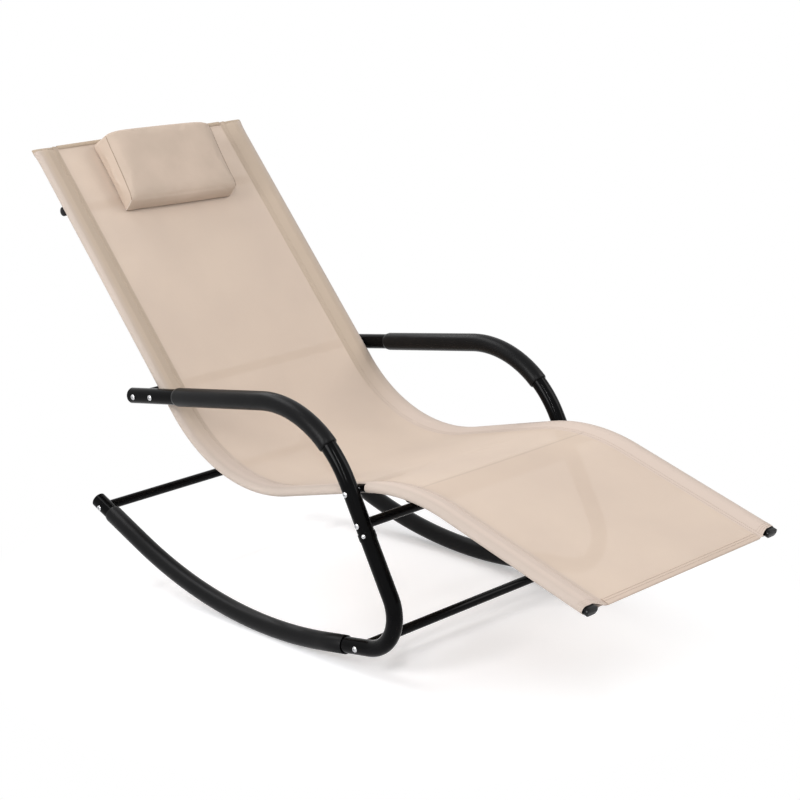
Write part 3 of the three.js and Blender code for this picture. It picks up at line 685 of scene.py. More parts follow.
def flat_oval(width, thickness, place, sideways, upwards, rounding=8, filled=False):
    """A flat oval, from a plane with its corners rounded, in edit mode and selected."""
    deselect_all()
    bpy.ops.mesh.primitive_plane_add(size=1)
    piece = bpy.context.object
    piece.scale = (width, thickness, 1)
    settle(piece)
    edit(piece)
    bpy.ops.mesh.select_all(action="SELECT")
    bpy.ops.mesh.bevel(
        offset=thickness / 2 * 0.9999, segments=rounding, affect="VERTICES", clamp_overlap=False
    )
    if not filled:
        bpy.ops.mesh.select_all(action="SELECT")
        bpy.ops.mesh.delete(type="ONLY_FACE")
    stop_edit()
    turn = Matrix((sideways, upwards, sideways.cross(upwards))).transposed()
    piece.matrix_world = Matrix.Translation(place) @ turn.to_4x4()
    settle(piece)
    edit(piece)
    bpy.ops.mesh.select_all(action="SELECT")
    return piece


# Materials


def linear(hexa):
    """An sRGB hex colour as linear red, green, blue and 1."""
    parts = [int(hexa[i : i + 2], 16) / 255 for i in (1, 3, 5)]
    return (*[c / 12.92 if c <= 0.04045 else ((c + 0.055) / 1.055) ** 2.4 for c in parts], 1.0)


def shade_of(hexa, ratio):
    """A hex colour made lighter or darker by a ratio."""
    parts = [min(255, round(int(hexa[i : i + 2], 16) * ratio)) for i in (1, 3, 5)]
    return "#%02x%02x%02x" % tuple(parts)


def new_material(name):
    material = bpy.data.materials.new(name)
    material.use_nodes = True
    material.node_tree.nodes.clear()
    return material, material.node_tree


def node(tree, kind, settings=None, values=None, links=None):
    """Adds a node with its settings, the values of its sockets and what is linked into them,
    which is a socket or a node, whose first output it then is."""
    made = tree.nodes.new("ShaderNode" + kind)
    for key, value in (settings or {}).items():
        setattr(made, key, value)
    for key, value in (values or {}).items():
        made.inputs[key].default_value = value
    for key, output in (links or {}).items():
        tree.links.new(getattr(output, "outputs", [output])[0], made.inputs[key])
    return made


WHITE = (1.0, 1.0, 1.0, 1.0)
COLOURS = {"data_type": "RGBA"}
MULTIPLIED = {"data_type": "RGBA", "blend_type": "MULTIPLY"}
SOFT_STEP = {"interpolation_type": "SMOOTHSTEP"}


def surface(tree, values, links):
    """Ends a material in a shader with these values and links."""
    shader = node(tree, "BsdfPrincipled", None, values, links)
    node(tree, "OutputMaterial", links={"Surface": shader})


def grain(tree, scale, detail, strength, depth):
    """A fine uneven surface, as a normal, with the coordinates that it is drawn in."""
    place = node(tree, "TexCoord")
    sizes = {"Scale": scale, "Detail": detail}
    noise = node(tree, "TexNoise", None, sizes, {"Vector": place.outputs["Object"]})
    sizes = {"Strength": strength, "Distance": depth}
    return place, node(tree, "Bump", None, sizes, {"Height": noise})


def patchy(tree, place, scale, hexa, ratio):
    """A colour in soft patches of two tones: itself, and itself made darker or lighter."""
    sizes = {"Scale": scale, "Detail": 3.0}
    cloud = node(tree, "TexNoise", None, sizes, {"Vector": place.outputs["Object"]})
    spread = node(tree, "MapRange", None, {"From Min": 0.35, "From Max": 0.65}, {"Value": cloud})
    tones = {6: linear(hexa), 7: linear(shade_of(hexa, ratio))}
    return node(tree, "Mix", COLOURS, tones, {0: spread}).outputs[2]


def even_finish(name, hexa, patches, fine, values):
    """A finish of one colour. Its patches have a scale and a second tone, and its grain has a
    scale, a detail, a strength and a depth."""
    material, tree = new_material(name)
    place, bump = grain(tree, *fine)
    tone = patchy(tree, place, patches[0], hexa, patches[1])
    surface(tree, values, {"Base Color": tone, "Normal": bump})
    return material


def powder_coat():
    """Satin black powder coat on steel tube: sprayed and baked, so it is near black with narrow
    soft highlights, a fine orange peel and a little dust."""
    material, tree = new_material("powder_coated_steel")
    # Orange peel is about 1 mm from crest to crest, and the dust lies in patches of 20 mm
    place, peel = grain(tree, 900.0, 2.0, 0.015, 0.0003)
    tone = patchy(tree, place, 30.0, sizes_of("colours").coating, 1.35)
    sizes = {"Scale": 45.0, "Detail": 4.0}
    dust = node(tree, "TexNoise", None, sizes, {"Vector": place.outputs["Object"]})
    rough = node(tree, "MapRange", None, {"To Min": 0.09, "To Max": 0.13}, {"Value": dust})
    links = {"Base Color": tone, "Roughness": rough, "Normal": peel}
    surface(tree, {"Specular IOR Level": 0.06}, links)
    return material


def closed_foam():
    """Closed-cell rubber foam with its moulded skin: a dull dark grey with a fine grain that
    spreads the light into broad soft bands."""
    values = {"Roughness": 0.34, "Specular IOR Level": 0.10}
    # The cells are about 0.7 mm across
    fine = (1400.0, 2.0, 0.12, 0.0003)
    return even_finish("closed_cell_foam", sizes_of("colours").foam, (24.0, 1.22), fine, values)


def moulded_plastic(name, roughness, texture, shine, ratio):
    """Moulded black polypropylene, even in colour, with the fine texture of its mould, which has
    a dot every 0.6 mm and shows less where the mould is polished."""
    hexa = shade_of(sizes_of("colours").plastic, ratio)
    values = {"Roughness": roughness, "Specular IOR Level": shine}
    return even_finish(name, hexa, (60.0, 1.3), (1800.0, 1.0, texture, 0.0002), values)


def zinc_plate():
    """Bright zinc plate on pressed steel: a pale metal that is duller in patches of 3 mm."""
    values = {"Metallic": 1.0, "Roughness": 0.24}
    fine = (700.0, 2.0, 0.12, 0.0002)
    return even_finish("bright_zinc_plate", sizes_of("colours").zinc, (300.0, 0.88), fine, values)


def sewing_thread(name, hexa):
    """Polyester sewing thread: a slight gloss over strands that twist every 0.5 mm."""
    values = {"Roughness": 0.55, "Specular IOR Level": 0.4}
    return even_finish(name, hexa, (200.0, 0.9), (2200.0, 1.0, 0.3, 0.0002), values)


# A wave texture's bands are this far apart at a scale of 1
WAVE_SPACING = math.tau / 20


def weave(tree, source, pitch, strength, depth):
    """A plain weave: its cells, and warp and weft that stand up in turn as a normal."""
    sizes = {"Scale": WAVE_SPACING / pitch, "Distortion": 0.0}
    bands = [
        node(
            tree,
            "TexWave",
            {"bands_direction": direction, "wave_profile": "SIN"},
            sizes,
            {"Vector": source},
        )
        for direction in ("X", "Y")
    ]
    links = {place: band.outputs["Fac"] for place, band in enumerate(bands)}
    cells = node(tree, "Math", {"operation": "MULTIPLY"}, None, links)
    sizes = {"Strength": strength, "Distance": depth}
    return cells, node(tree, "Bump", None, sizes, {"Height": cells})


def doubled_tone_with_back_shade(tree, flat, colour, edge, blur):
    """The colour of cloth that lies on another layer beyond an edge. Up the back that double cloth
    is darkened as painted shade."""
    c = sizes_of("colours")
    side = node(tree, "Math", {"operation": "ABSOLUTE"}, None, {0: flat.outputs["X"]})
    limits = {"From Min": edge - blur, "From Max": edge + blur}
    doubled = node(tree, "MapRange", None, limits, {"Value": side})
    # Painted shade: from here up the back the double cloth turns darker
    limits = {"From Min": 0.88, "From Max": 1.14}
    up = node(tree, "MapRange", SOFT_STEP, limits, {"Value": flat.outputs["Y"]})
    tones = {6: linear(c.double_cloth), 7: linear(c.back_double)}
    double_or_back_shade = node(tree, "Mix", COLOURS, tones, {0: up})
    links = {0: doubled, 6: colour, 7: double_or_back_shade.outputs[2]}
    return node(tree, "Mix", COLOURS, None, links).outputs[2]


def crease_shade_tone(tree, flat, colour, station):
    """The colour of cloth darkened in a narrow line at a crease, as painted shade."""
    links = {0: flat.outputs["Y"]}
    beside = node(tree, "Math", {"operation": "SUBTRACT"}, {1: station}, links)
    distance = node(tree, "Math", {"operation": "ABSOLUTE"}, None, {0: beside})
    # Painted shade: darker within 3 mm of the crease line
    limits = {"From Min": 0.0005, "From Max": 0.0030, "To Min": 0.88, "To Max": 1.0}
    pressed = node(tree, "MapRange", None, limits, {"Value": distance})
    return node(tree, "Mix", MULTIPLIED, {0: 1.0}, {6: colour, 7: pressed}).outputs[2]


def hemmed_tone(tree, flat, colour, start):
    """The colour of a pocket whose head end is rolled into the same hem as the panel's."""
    limits = {"From Min": start - 0.0005, "From Max": start + 0.0005}
    rolled = node(tree, "MapRange", None, limits, {"Value": flat.outputs["Y"]})
    tones = {7: linear(sizes_of("colours").head_hem)}
    return node(tree, "Mix", COLOURS, tones, {0: rolled, 6: colour}).outputs[2]


def mesh_cloth(name, one_layer, open_share=0.0, tones=()):
    """Coated polyester mesh for slings: a matt open weave with a thread every 1.2 mm. A little of
    what lies behind shows through its holes, so a tube behind is a faint band and two layers look
    darker. The weave is drawn at twice its pitch, because the real one is finer than the
    picture's dots. The cloth's two faces each let open_share of the light through. Tones are
    the changes of its colour along it, each a function and its measures."""
    material, tree = new_material(name)
    place = node(tree, "TexCoord")
    cells, woven = weave(tree, place.outputs["UV"], 0.0024, 0.22, 0.0003)
    # Soft creases about 40 mm apart, as in stretched cloth
    sizes = {"Scale": 24.0, "Detail": 3.0, "Roughness": 0.45}
    creases = node(tree, "TexNoise", None, sizes, {"Vector": place.outputs["Object"]})
    sizes = {"Strength": 0.10, "Distance": 0.004}
    bump = node(tree, "Bump", None, sizes, {"Height": creases, "Normal": woven})
    colour = patchy(tree, place, 5.0, one_layer, 0.972)
    if tones:
        flat = node(tree, "SeparateXYZ", None, None, {"Vector": place.outputs["UV"]})
    for tone, *measures in tones:
        colour = tone(tree, flat, colour, *measures)
    limits = {"From Min": 0.0, "From Max": 1.0, "To Min": 0.93, "To Max": 1.03}
    holes = node(tree, "MapRange", None, limits, {"Value": cells})
    threads = node(tree, "Mix", MULTIPLIED, {0: 1.0}, {6: colour, 7: holes})
    values = {"Roughness": 0.78, "Specular IOR Level": 0.25, "Sheen Weight": 0.05}
    links = {"Base Color": threads.outputs[2], "Normal": bump}
    shader = node(tree, "BsdfPrincipled", None, values, links)
    if open_share:
        gap = node(tree, "BsdfTransparent")
        shader = node(tree, "MixShader", None, {0: open_share}, {1: shader, 2: gap})
    node(tree, "OutputMaterial", links={"Surface": shader})
    return material


def pillow_cloth():
    """Brushed polyester cover: matt, with a fine nap, a faint weave and soft uneven patches
    where the filling shows. The weave is drawn at 2 mm, four times its real pitch."""
    heading = rail_route().at(pillow_station())[1]
    material, tree = new_material("brushed_polyester")
    place = node(tree, "TexCoord")
    turn = {"Rotation": (-heading, 0.0, 0.0)}
    lay = node(tree, "Mapping", None, turn, {"Vector": place.outputs["Object"]})
    _, bump = weave(tree, lay, 0.002, 0.10, 0.0003)
    sizes = {"Scale": 60.0, "Detail": 5.0}
    nap = node(tree, "TexNoise", None, sizes, {"Vector": place.outputs["Object"]})
    sizes = {"Strength": 0.16, "Distance": 0.002}
    soft = node(tree, "Bump", None, sizes, {"Height": nap, "Normal": bump})
    tone = patchy(tree, place, 14.0, sizes_of("colours").pillow, 0.965)
    values = {"Roughness": 0.85, "Specular IOR Level": 0.2, "Sheen Weight": 0.05}
    surface(tree, values, {"Base Color": tone, "Normal": soft})
    return material


def panel_cloth():
    c = sizes_of("colours")
    # The crease lies in front of the knee tube, and the darker line painted there is painted shade
    tones = [(doubled_tone_with_back_shade, pocket_edge_x(), 0.0006), (crease_shade_tone, knee_station() - 0.005)]
    return mesh_cloth("mesh_cloth", c.cloth, c.open_share, tones)


def pocket_cloth():
    c, s = sizes_of("colours"), sizes_of("sling")
    # Beside the rail the pocket's two layers lie on each other, so its tones are the other way; up
    # the back they carry the painted shade too
    tones = [(doubled_tone_with_back_shade, s.flap_tone, -0.007), (hemmed_tone, rail_route().length - s.head_hem)]
    return mesh_cloth("mesh_cloth_pocket", c.pocket, c.open_share * 0.8, tones)


FINISHES = {
    "coating": powder_coat,
    "foam": closed_foam,
    "plug": lambda: moulded_plastic("moulded_polypropylene", 0.42, 0.12, 0.15, 1.0),
    "gloss": lambda: moulded_plastic("glossy_polypropylene", 0.12, 0.03, 0.18, 0.6),
    "zinc": zinc_plate,
    "panel": panel_cloth,
    "sleeve": pocket_cloth,
    "hem": lambda: mesh_cloth("mesh_cloth_hem", sizes_of("colours").hem),
    "head_hem": lambda: mesh_cloth("mesh_cloth_head_hem", sizes_of("colours").head_hem),
    "strap": lambda: mesh_cloth("strap_cloth", sizes_of("colours").strap),
    "pillow": pillow_cloth,
    "thread": lambda: sewing_thread("sewing_thread", sizes_of("colours").thread),
    "seam_thread": lambda: sewing_thread("pillow_thread", sizes_of("colours").seam_thread),
    "light_thread": lambda: sewing_thread("corner_thread", sizes_of("colours").light_thread),
}
MADE = {}


def finish_named(name):
    """A finish, made when it is first asked for."""
    if name not in MADE:
        MADE[name] = FINISHES[name]()
    return MADE[name]


# Places on the sling


def sling_edge_x():
    s = sizes_of("sling")
    return rail_x() + s.rail_width / 2 + s.cloth_gap + s.cloth


def pocket_edge_x():
    return sling_edge_x() - sizes_of("sling").pocket_width


def knee_station():
    s = sizes_of("sling")
    return s.foot_straight + s.knee_radius * s.knee_angle / 2


def crease_station():
    """The crease lies a little up the seat from the knee tube."""
    return knee_station() + 0.004


def head_bar_station():
    return rail_route().length - sizes_of("sling").head_bar_gap


def back_bolt_station():
    return rail_route().length - sizes_of("sling").back_bolt_gap


def pillow_station():
    p = sizes_of("pillow")
    return rail_route().length - p.head_gap - p.height / 2


def lie_of_pillow():
    """Where the pillow lies: its X is sideways, its Y up the back and its Z off the cloth."""
    p = sizes_of("pillow")
    route = rail_route()
    place = route.point(pillow_station(), p.offset, p.base)
    along, up = route.along(pillow_station()), route.normal(pillow_station())
    across = SIDEWAYS
    x_axis = math.cos(p.turn) * across - math.sin(p.turn) * along
    y_axis = math.sin(p.turn) * across + math.cos(p.turn) * along
    return place, Matrix((x_axis, y_axis, up)).transposed().to_4x4()


def sag_at(station, route):
    """How far the panel hangs under the rails' plane in the middle of its width."""
    s = sizes_of("sling")
    seat_start = s.foot_straight + s.knee_radius * s.knee_angle + s.seat_straight
    seat_end = seat_start + s.seat_radius * s.seat_angle
    head_bar = head_bar_station()
    marks = [
        (0.0, 0.0),
        (s.foot_straight / 2, s.leg_sag),
        (knee_station(), s.knee_sag),
        (seat_start, s.seat_sag),
        (seat_end, (s.seat_sag + s.back_sag) / 2),
        ((seat_end + head_bar) / 2, s.back_sag),
        (head_bar - 0.06, 0.0),
        (route.length + 0.05, 0.0),
    ]
    for (low, low_sag), (high, high_sag) in zip(marks, marks[1:]):
        if low <= station <= high:
            t = (station - low) / (high - low)
            # The cloth breaks over the knee tube and is slack elsewhere
            if low == knee_station():
                t = math.sin(t * math.pi / 2)
            elif high == knee_station():
                t = 1 - math.cos(t * math.pi / 2)
            else:
                t = eased(t)
            return low_sag + (high_sag - low_sag) * t
    return 0.0


# Shallow folds of the panel: station, sideways place, depth, width and lean
FOLDS = (
    (0.552, -0.20, 0.0095, 0.009, 0.34),
    (0.572, -0.20, -0.0030, 0.010, 0.38),
    (0.560, 0.12, 0.0020, 0.018, -0.25),
    (0.880, -0.15, 0.0015, 0.022, 0.4),
    (0.930, 0.16, 0.0015, 0.024, -0.4),
    (0.080, 0.02, 0.0012, 0.030, 0.1),
    (1.120, -0.12, 0.0010, 0.030, 0.2),
)


def panel_height(route, x, station):
    """Height of the panel's cloth, at the middle of its thickness, over the rails' plane."""
    s = sizes_of("sling")
    edge = pocket_edge_x()
    share = min(1.0, abs(x) / edge)
    height = s.panel_lift - sag_at(station, route) * (1 - share * share)
    height += max(0.0, abs(x) - edge) * s.flap_slope
    # The cloth is drawn into shallow folds where the seat tube and the side seams pull at it
    for fold_station, fold_x, depth, width, lean in FOLDS:
        across = (x - fold_x) / s.fold_length
        offset = station - fold_station - lean * (x - fold_x)
        height -= depth * bell(offset, width) * bell(across, 1.0) * (1 - share**10)
    # The knee tube lifts a crease that fades out at the seams
    ridge = math.exp(-abs(station - crease_station()) / s.crease_width)
    height += s.crease * ridge * (1 - share**8)
    # Small puckers along the side seams
    seam = bell(share - 1, 0.12)
    height += s.pucker * seam * math.sin(station * math.tau / 0.047) * (1 - bell(share - 1, 0.02))
    return height


def panel_point(route, x, station, lift=0.0):
    return route.point(station, x, panel_height(route, x, station) + lift)


def pocket_section():
    """The pocket's cloth across one rail, as (distance from the middle, height) from the sewn
    edge above, round the rail and back to the sewn edge below."""
    s = sizes_of("sling")
    offset = s.rail_thickness / 2 + s.cloth_gap + s.cloth / 2
    flat = (s.rail_width - s.rail_thickness) / 2
    inner, outer = rail_x() - flat, rail_x() + flat
    start = Vector((pocket_edge_x(), s.cloth / 2 + 0.0001))
    low_start = Vector((start.x, -start.y))
    reach = (Vector((inner, 0.0)) - start).length
    tangent = math.pi - math.acos(offset / reach) - math.atan2(start.y, inner - start.x)
    quarter = math.pi / 2
    rest = quarter - tangent

    def round_at(x, turn):
        return Vector((x + offset * math.cos(turn), offset * math.sin(turn)))

    points = [start.lerp(round_at(inner, tangent), step / 6) for step in range(6)]
    points += [round_at(inner, tangent + rest * k / 2) for k in range(3)]
    points += [round_at(outer, quarter - math.pi * k / 14) for k in range(15)]
    points += [round_at(inner, -quarter + rest * k / 2) for k in range(3)]
    points += [round_at(inner, -tangent).lerp(low_start, step / 6) for step in range(1, 7)]
    return points


# The pieces


class CHAISE_OT_stage(bpy.types.Operator):
    """Sets the camera, the pale floor and the soft studio lamps"""

    bl_idname = "chaise.stage"
    bl_label = "Stage"

    def execute(self, context):
        t = sizes_of("stage")
        deselect_all()
        turn = (math.pi / 2 - t.camera_pitch, 0.0, t.camera_heading)
        bpy.ops.object.camera_add(location=t.camera_place, rotation=turn)
        camera = context.object
        camera.data.sensor_width = 36.0
        camera.data.lens = t.lens
        camera.data.clip_end = 200.0
        context.scene.camera = camera
        context.scene.view_settings.view_transform = "Standard"
        bpy.ops.mesh.primitive_plane_add(size=t.floor_size, location=(0, 0, -t.floor_drop))
        floor = context.object
        floor.name = "floor"
        floor.data.materials.append(self.floor_paint(t))
        for name, place, target, size, power, tint in LAMPS:
            direction = Vector(target) - Vector(place)
            turn = direction.to_track_quat("-Z", "Y").to_euler()
            bpy.ops.object.light_add(type="AREA", location=place, rotation=turn)
            lamp = context.object
            lamp.name = name
            lamp.data.shape = "RECTANGLE"
            lamp.data.size, lamp.data.size_y = size
            lamp.data.energy = power
            lamp.data.color = linear(tint)[:3]
        self.sky(context.scene, t)
        return {"FINISHED"}

    def looked_at(self, tree):
        """1 for the rays that meet the white background: the camera's, and those that go on
        from glass and gloss."""
        path = node(tree, "LightPath")
        larger = {"operation": "MAXIMUM"}
        rays = {0: path.outputs["Is Camera Ray"], 1: path.outputs["Is Transmission Ray"]}
        seen = node(tree, "Math", larger, None, rays)
        return node(tree, "Math", larger, None, {0: seen, 1: path.outputs["Is Glossy Ray"]})

    def floor_paint(self, t):
        """Matt white studio paper. To the camera it is lifted to white, and keeps the shadow."""
        c = sizes_of("colours")
        material, tree = new_material("studio_paper")
        plain = node(tree, "BsdfDiffuse", None, {"Color": linear(c.floor)})
        seen = node(tree, "BsdfDiffuse", None, {"Color": linear(c.floor_seen)})
        lift = node(tree, "Emission", None, {"Color": WHITE, "Strength": t.floor_lift})
        lifted = node(tree, "AddShader", None, None, {0: seen, 1: lift})
        looked_at = self.looked_at(tree)
        both = node(tree, "MixShader", None, None, {0: looked_at, 1: plain, 2: lifted})
        # Away from the chair the paper runs out into the white background
        place = node(tree, "TexCoord").outputs["Object"]
        reach = node(tree, "VectorMath", {"operation": "LENGTH"}, None, {0: place})
        limits = {"From Min": t.fade_start, "From Max": t.fade_end}
        away = node(tree, "MapRange", SOFT_STEP, limits, {"Value": reach.outputs["Value"]})
        beyond = node(tree, "Math", {"operation": "MULTIPLY"}, None, {0: away, 1: looked_at})
        white = node(tree, "Emission", None, {"Color": WHITE, "Strength": 1.0})
        whole = node(tree, "MixShader", None, None, {0: beyond, 1: both, 2: white})
        node(tree, "OutputMaterial", links={"Surface": whole})
        return material

    def sky(self, scene, t):
        """A grey room light, and white to the camera and in reflections."""
        scene.world = scene.world or bpy.data.worlds.new("studio")
        scene.world.use_nodes = True
        tree = scene.world.node_tree
        tree.nodes.clear()
        room = node(tree, "Background", None, {"Color": WHITE, "Strength": t.room_light})
        white = node(tree, "Background", None, {"Color": WHITE, "Strength": 1.0})
        links = {0: self.looked_at(tree), 1: room, 2: white}
        both = node(tree, "MixShader", None, None, links)
        node(tree, "OutputWorld", links={"Surface": both})


# Lamps: name, place, what it looks at, size, power and tint
LAMPS = (
    ("left_softbox", (-3.6, 0.0, 2.0), (0.0, 0.1, 0.5), (1.2, 2.4), 86.0, "#ffffff"),
    ("right_softbox", (2.4, -2.2, 3.0), (0.0, 0.1, 0.5), (2.2, 2.2), 62.0, "#fffdfb"),
    ("top_softbox", (-1.0, 2.2, 3.9), (0.0, 0.1, 0.4), (2.4, 1.6), 56.0, "#ffffff"),
    ("left_strip", (-2.6, -2.2, 2.9), (0.0, -0.1, 0.4), (0.05, 2.0), 34.0, "#ffffff"),
    ("back_strip", (0.6, 3.2, 2.9), (0.0, 0.0, 0.3), (2.0, 0.05), 22.0, "#ffffff"),
)


class CHAISE_OT_side_frames(bpy.types.Operator):
    """Bends the two tubes of each side frame and closes their ends with plugs"""

    bl_idname = "chaise.side_frames"
    bl_label = "Side frames"

    def execute(self, context):
        f = sizes_of("frame")
        route = frame_route()
        joint = frame_stations()[2]
        radius, edge = f.tube_diameter / 2, f.edge_round
        arm_bore, rocker_bore = radius - f.tube_wall, radius - f.rocker_wall
        wide = radius + f.joint_flare
        tubes = {
            "arm_tube": [
                (0.0, arm_bore),
                (0.0, radius - edge),
                (edge, radius),
                (joint - edge, radius),
                (joint - f.joint_gap, radius - edge),
                (joint - f.joint_gap, arm_bore),
            ],
            "rocker_tube": [
                (joint, rocker_bore),
                (joint, wide - edge),
                (joint + edge, wide),
                (joint + f.joint_flare_length, wide),
                (joint + f.joint_flare_length * 1.3, radius),
                (route.length - edge, radius),
                (route.length, radius - edge),
                (route.length, rocker_bore),
            ],
        }
        ends = (
            ("arm_cap", 0.0, -1, arm_bore, f.arm_dome),
            ("rocker_cap", route.length, 1, rocker_bore, f.rocker_dome),
        )
        for hand, side in SIDES.items():
            x = side * f.spacing / 2
            for name, outline in tubes.items():
                tube = sweep(route, x, outline, f.tube_sides)
                stand_in(tube, f"{name}_{hand}", "coating")
            for name, station, way, bore, height in ends:
                plug = end_plug(radius, bore, f.plug_depth, f.plug_rim, height, f.tube_sides)
                seat(plug, route.point(station, x), way * route.along(station))
                stand_in(plug, f"{name}_{hand}", "plug")
        return {"FINISHED"}


class CHAISE_OT_foam(bpy.types.Operator):
    """Slides the foam grips over the arms and the rubber runners over the rockers"""

    bl_idname = "chaise.foam"
    bl_label = "Grips and runners"

    def execute(self, context):
        f = sizes_of("frame")
        route = frame_route()
        arm_bend_end, toe_bend_end, _ = frame_stations()
        bore, lip = f.tube_diameter / 2 + f.foam_gap, f.tube_diameter / 2 + f.runner_lip
        grip, grip_end = f.grip_diameter / 2, arm_bend_end - f.grip_bend_gap
        runner, skin = f.runner_diameter / 2, f.foam_round
        front, rear = toe_bend_end + f.runner_front_gap, route.length - f.runner_rear_gap
        sleeves = {
            # The grip tapers at its rear end, where it is cut from its mould
            "arm_grip": [
                (f.grip_start, bore),
                (f.grip_start, bore + 0.0006),
                (f.grip_start + 0.0012, bore + 0.0011),
                (f.grip_start + 0.0050, grip - 0.0005),
                (f.grip_start + 0.0075, grip),
                (grip_end - skin * 2, grip),
                (grip_end - skin, grip - skin * 0.4),
                (grip_end, grip - skin),
                (grip_end, bore),
            ],
            # The runner gapes in front and closes round the tube behind
            "rocker_sleeve": [
                (front + f.runner_lip_depth, bore),
                (front + f.runner_lip_depth * 0.6, lip - 0.0003),
                (front, lip),
                (front, runner - 0.0006),
                (front + 0.0008, runner),
                (rear - 0.005, runner),
                (rear - 0.0014, runner - 0.0009),
                (rear, bore + 0.0010),
                (rear, bore),
            ],
        }
        for hand, side in SIDES.items():
            for name, outline in sleeves.items():
                sleeve = sweep(route, side * f.spacing / 2, outline, f.tube_sides)
                # The runner is pressed flat where it stands on the floor
                for vertex in sleeve.data.vertices:
                    vertex.co.z = max(vertex.co.z, 0.0)
                stand_in(sleeve, f"{name}_{hand}", "foam")
        return {"FINISHED"}


class CHAISE_OT_cross_tubes(bpy.types.Operator):
    """Cuts the cross tubes to fit the side frames, and plugs the head tube"""

    bl_idname = "chaise.cross_tubes"
    bl_label = "Cross tubes"

    def execute(self, context):
        f, s = sizes_of("frame"), sizes_of("sling")
        route, rail = frame_route(), rail_route()
        arm_bend_end, toe_bend_end, _ = frame_stations()
        radius = f.bar_diameter / 2
        stations = {
            "back": f.tail_length,
            "seat": arm_bend_end + f.seat_bar_drop,
            "front": toe_bend_end + f.front_bar_gap,
            "rear": route.length - f.rear_bar_gap,
        }
        for name, station in stations.items():
            centre, across = route.point(station), route.normal(station)
            bar = self.tube(centre, f.spacing / 2, f)
            # Each end is coped to the side frame's round tube
            for vertex in bar.data.vertices:
                if abs(vertex.co.x) > f.spacing / 4:
                    off = (vertex.co - centre).dot(across)
                    depth = math.sqrt((f.tube_diameter / 2) ** 2 - off**2)
                    reach = f.spacing / 2 - depth - f.cope_gap
                    vertex.co.x = math.copysign(reach, vertex.co.x)
            stand_in(bar, f"crossbar_{name}", "coating")
        depth = s.rail_thickness / 2 + s.cloth_gap + s.cloth + f.fit_gap + radius
        place = rail.point(head_bar_station(), 0.0, -depth)
        reach = rail_x() + s.head_bar_overhang
        stand_in(self.tube(place, reach, f), "crossbar_head", "coating")
        sizes = (f.bar_plug_depth, f.bar_plug_rim, f.bar_dome - f.bar_plug_rim)
        for hand, side in SIDES.items():
            plug = end_plug(radius, radius - f.bar_wall, *sizes, f.bar_sides)
            seat(plug, place + side * reach * SIDEWAYS, side * SIDEWAYS, Vector((0, 1, 0)))
            stand_in(plug, f"head_bar_cap_{hand}", "plug")
        return {"FINISHED"}

    def tube(self, place, reach, f):
        """A cross tube with its wall, from -reach to reach."""
        bar = ring(f.bar_sides, f.bar_diameter / 2, place - reach * SIDEWAYS, SIDEWAYS)
        push(2 * reach * SIDEWAYS)
        stop_edit()
        face_outwards(bar)
        thicken(bar, f.bar_wall, -1.0)
        return bar


class CHAISE_OT_rails(bpy.types.Operator):
    """Bends the flat-oval rails and closes their foot and head ends"""

    bl_idname = "chaise.rails"
    bl_label = "Rails"

    def execute(self, context):
        s, gap = sizes_of("sling"), sizes_of("frame").fit_gap
        route = rail_route()
        # The foot caps' raised faces are at the start of the route
        foot, head = s.cap_head + s.cap_face, route.length - s.rail_head_gap
        joint = s.rail_joint_station
        parts = (
            ("seat_rail", foot + gap, joint, s.seat_rail_wall),
            ("back_rail", joint + gap, head, s.back_rail_wall),
        )
        ends = (("rail_foot_cap", foot, -1), ("rail_head_cap", head + gap, 1))
        size = (s.rail_width, s.rail_thickness)
        for hand, side in SIDES.items():
            x = side * rail_x()
            for name, start, end, wall in parts:
                rail = flat_oval(*size, route.point(start, x), SIDEWAYS, route.normal(start))
                travel(route, x, start, end)
                stop_edit()
                face_outwards(rail)
                thicken(rail, wall, -1.0)
                stand_in(rail, f"{name}_{hand}", "coating")
            for name, station, way in ends:
                cap = self.cap(route, x, station, way, s)
                stand_in(cap, f"{name}_{hand}", "gloss", 30)
        return {"FINISHED"}

    def cap(self, route, x, station, way, s):
        """A stem in the rail's bore, a head over its end and a raised rounded face."""
        along, lie = way * route.along(station), (-way * SIDEWAYS, route.normal(station))
        place = route.point(station, x)
        size = (s.rail_width, s.rail_thickness)
        stem = [measure - 2 * s.cap_stem_inset for measure in size]
        cap = flat_oval(*stem, place - s.cap_stem * along, *lie, rounding=6, filled=True)
        push((s.cap_stem - s.cap_stem_gap) * along)
        stop_edit()
        head = flat_oval(*size, place, *lie, rounding=6, filled=True)
        push(s.cap_head * along)
        bpy.ops.mesh.inset(thickness=s.cap_face_inset, depth=0.0)
        push(s.cap_face * along)
        stop_edit()
        face_outwards(head)
        apply_modifier(head, "BEVEL", width=s.cap_edge, segments=3, limit_method="ANGLE")
        face_outwards(cap)
        make_active(head)
        cap.select_set(True)
        bpy.ops.object.join()
        return bpy.context.object


# Bolts through the side frames: length of the shank, and the recess's turn in degrees
BOLTS = {
    "back_bar_bolt": (0.044, 12),
    "back_rail_bolt": (0.040, 50),
    "seat_rail_bolt": (0.040, 28),
    "seat_bar_bolt": (0.044, 70),
    "front_bar_bolt": (0.044, 35),
    "rear_bar_bolt": (0.044, 5),
}
PATTERN_SHANK = 0.044
HEAD_BAR_SHANK = 0.026
JOINT_SCREW_SHANK = 0.012
JOINT_SCREW_TURN = math.radians(24)
# Height of the joint screw's head to a bolt's, and how far the recesses of the two sides are
# turned either way in degrees
JOINT_SCREW_SHARE = 0.8
RECESS_SPREAD = 20
# Radius of a screw's shank and of its tip, and the tip's length
SHANK_RADIUS, TIP_RADIUS, TIP_LENGTH = 0.0029, 0.0024, 0.0006
# Straight rim of a screw's head to its height
RIM_SHARE = 0.28
# Arms of the cross recess: length and width to the head's radius, depth, and width of the floor
RECESS_LONG, RECESS_NARROW = 1.15, 0.26
RECESS_DEPTH, RECESS_FLOOR = 0.0036, 0.55


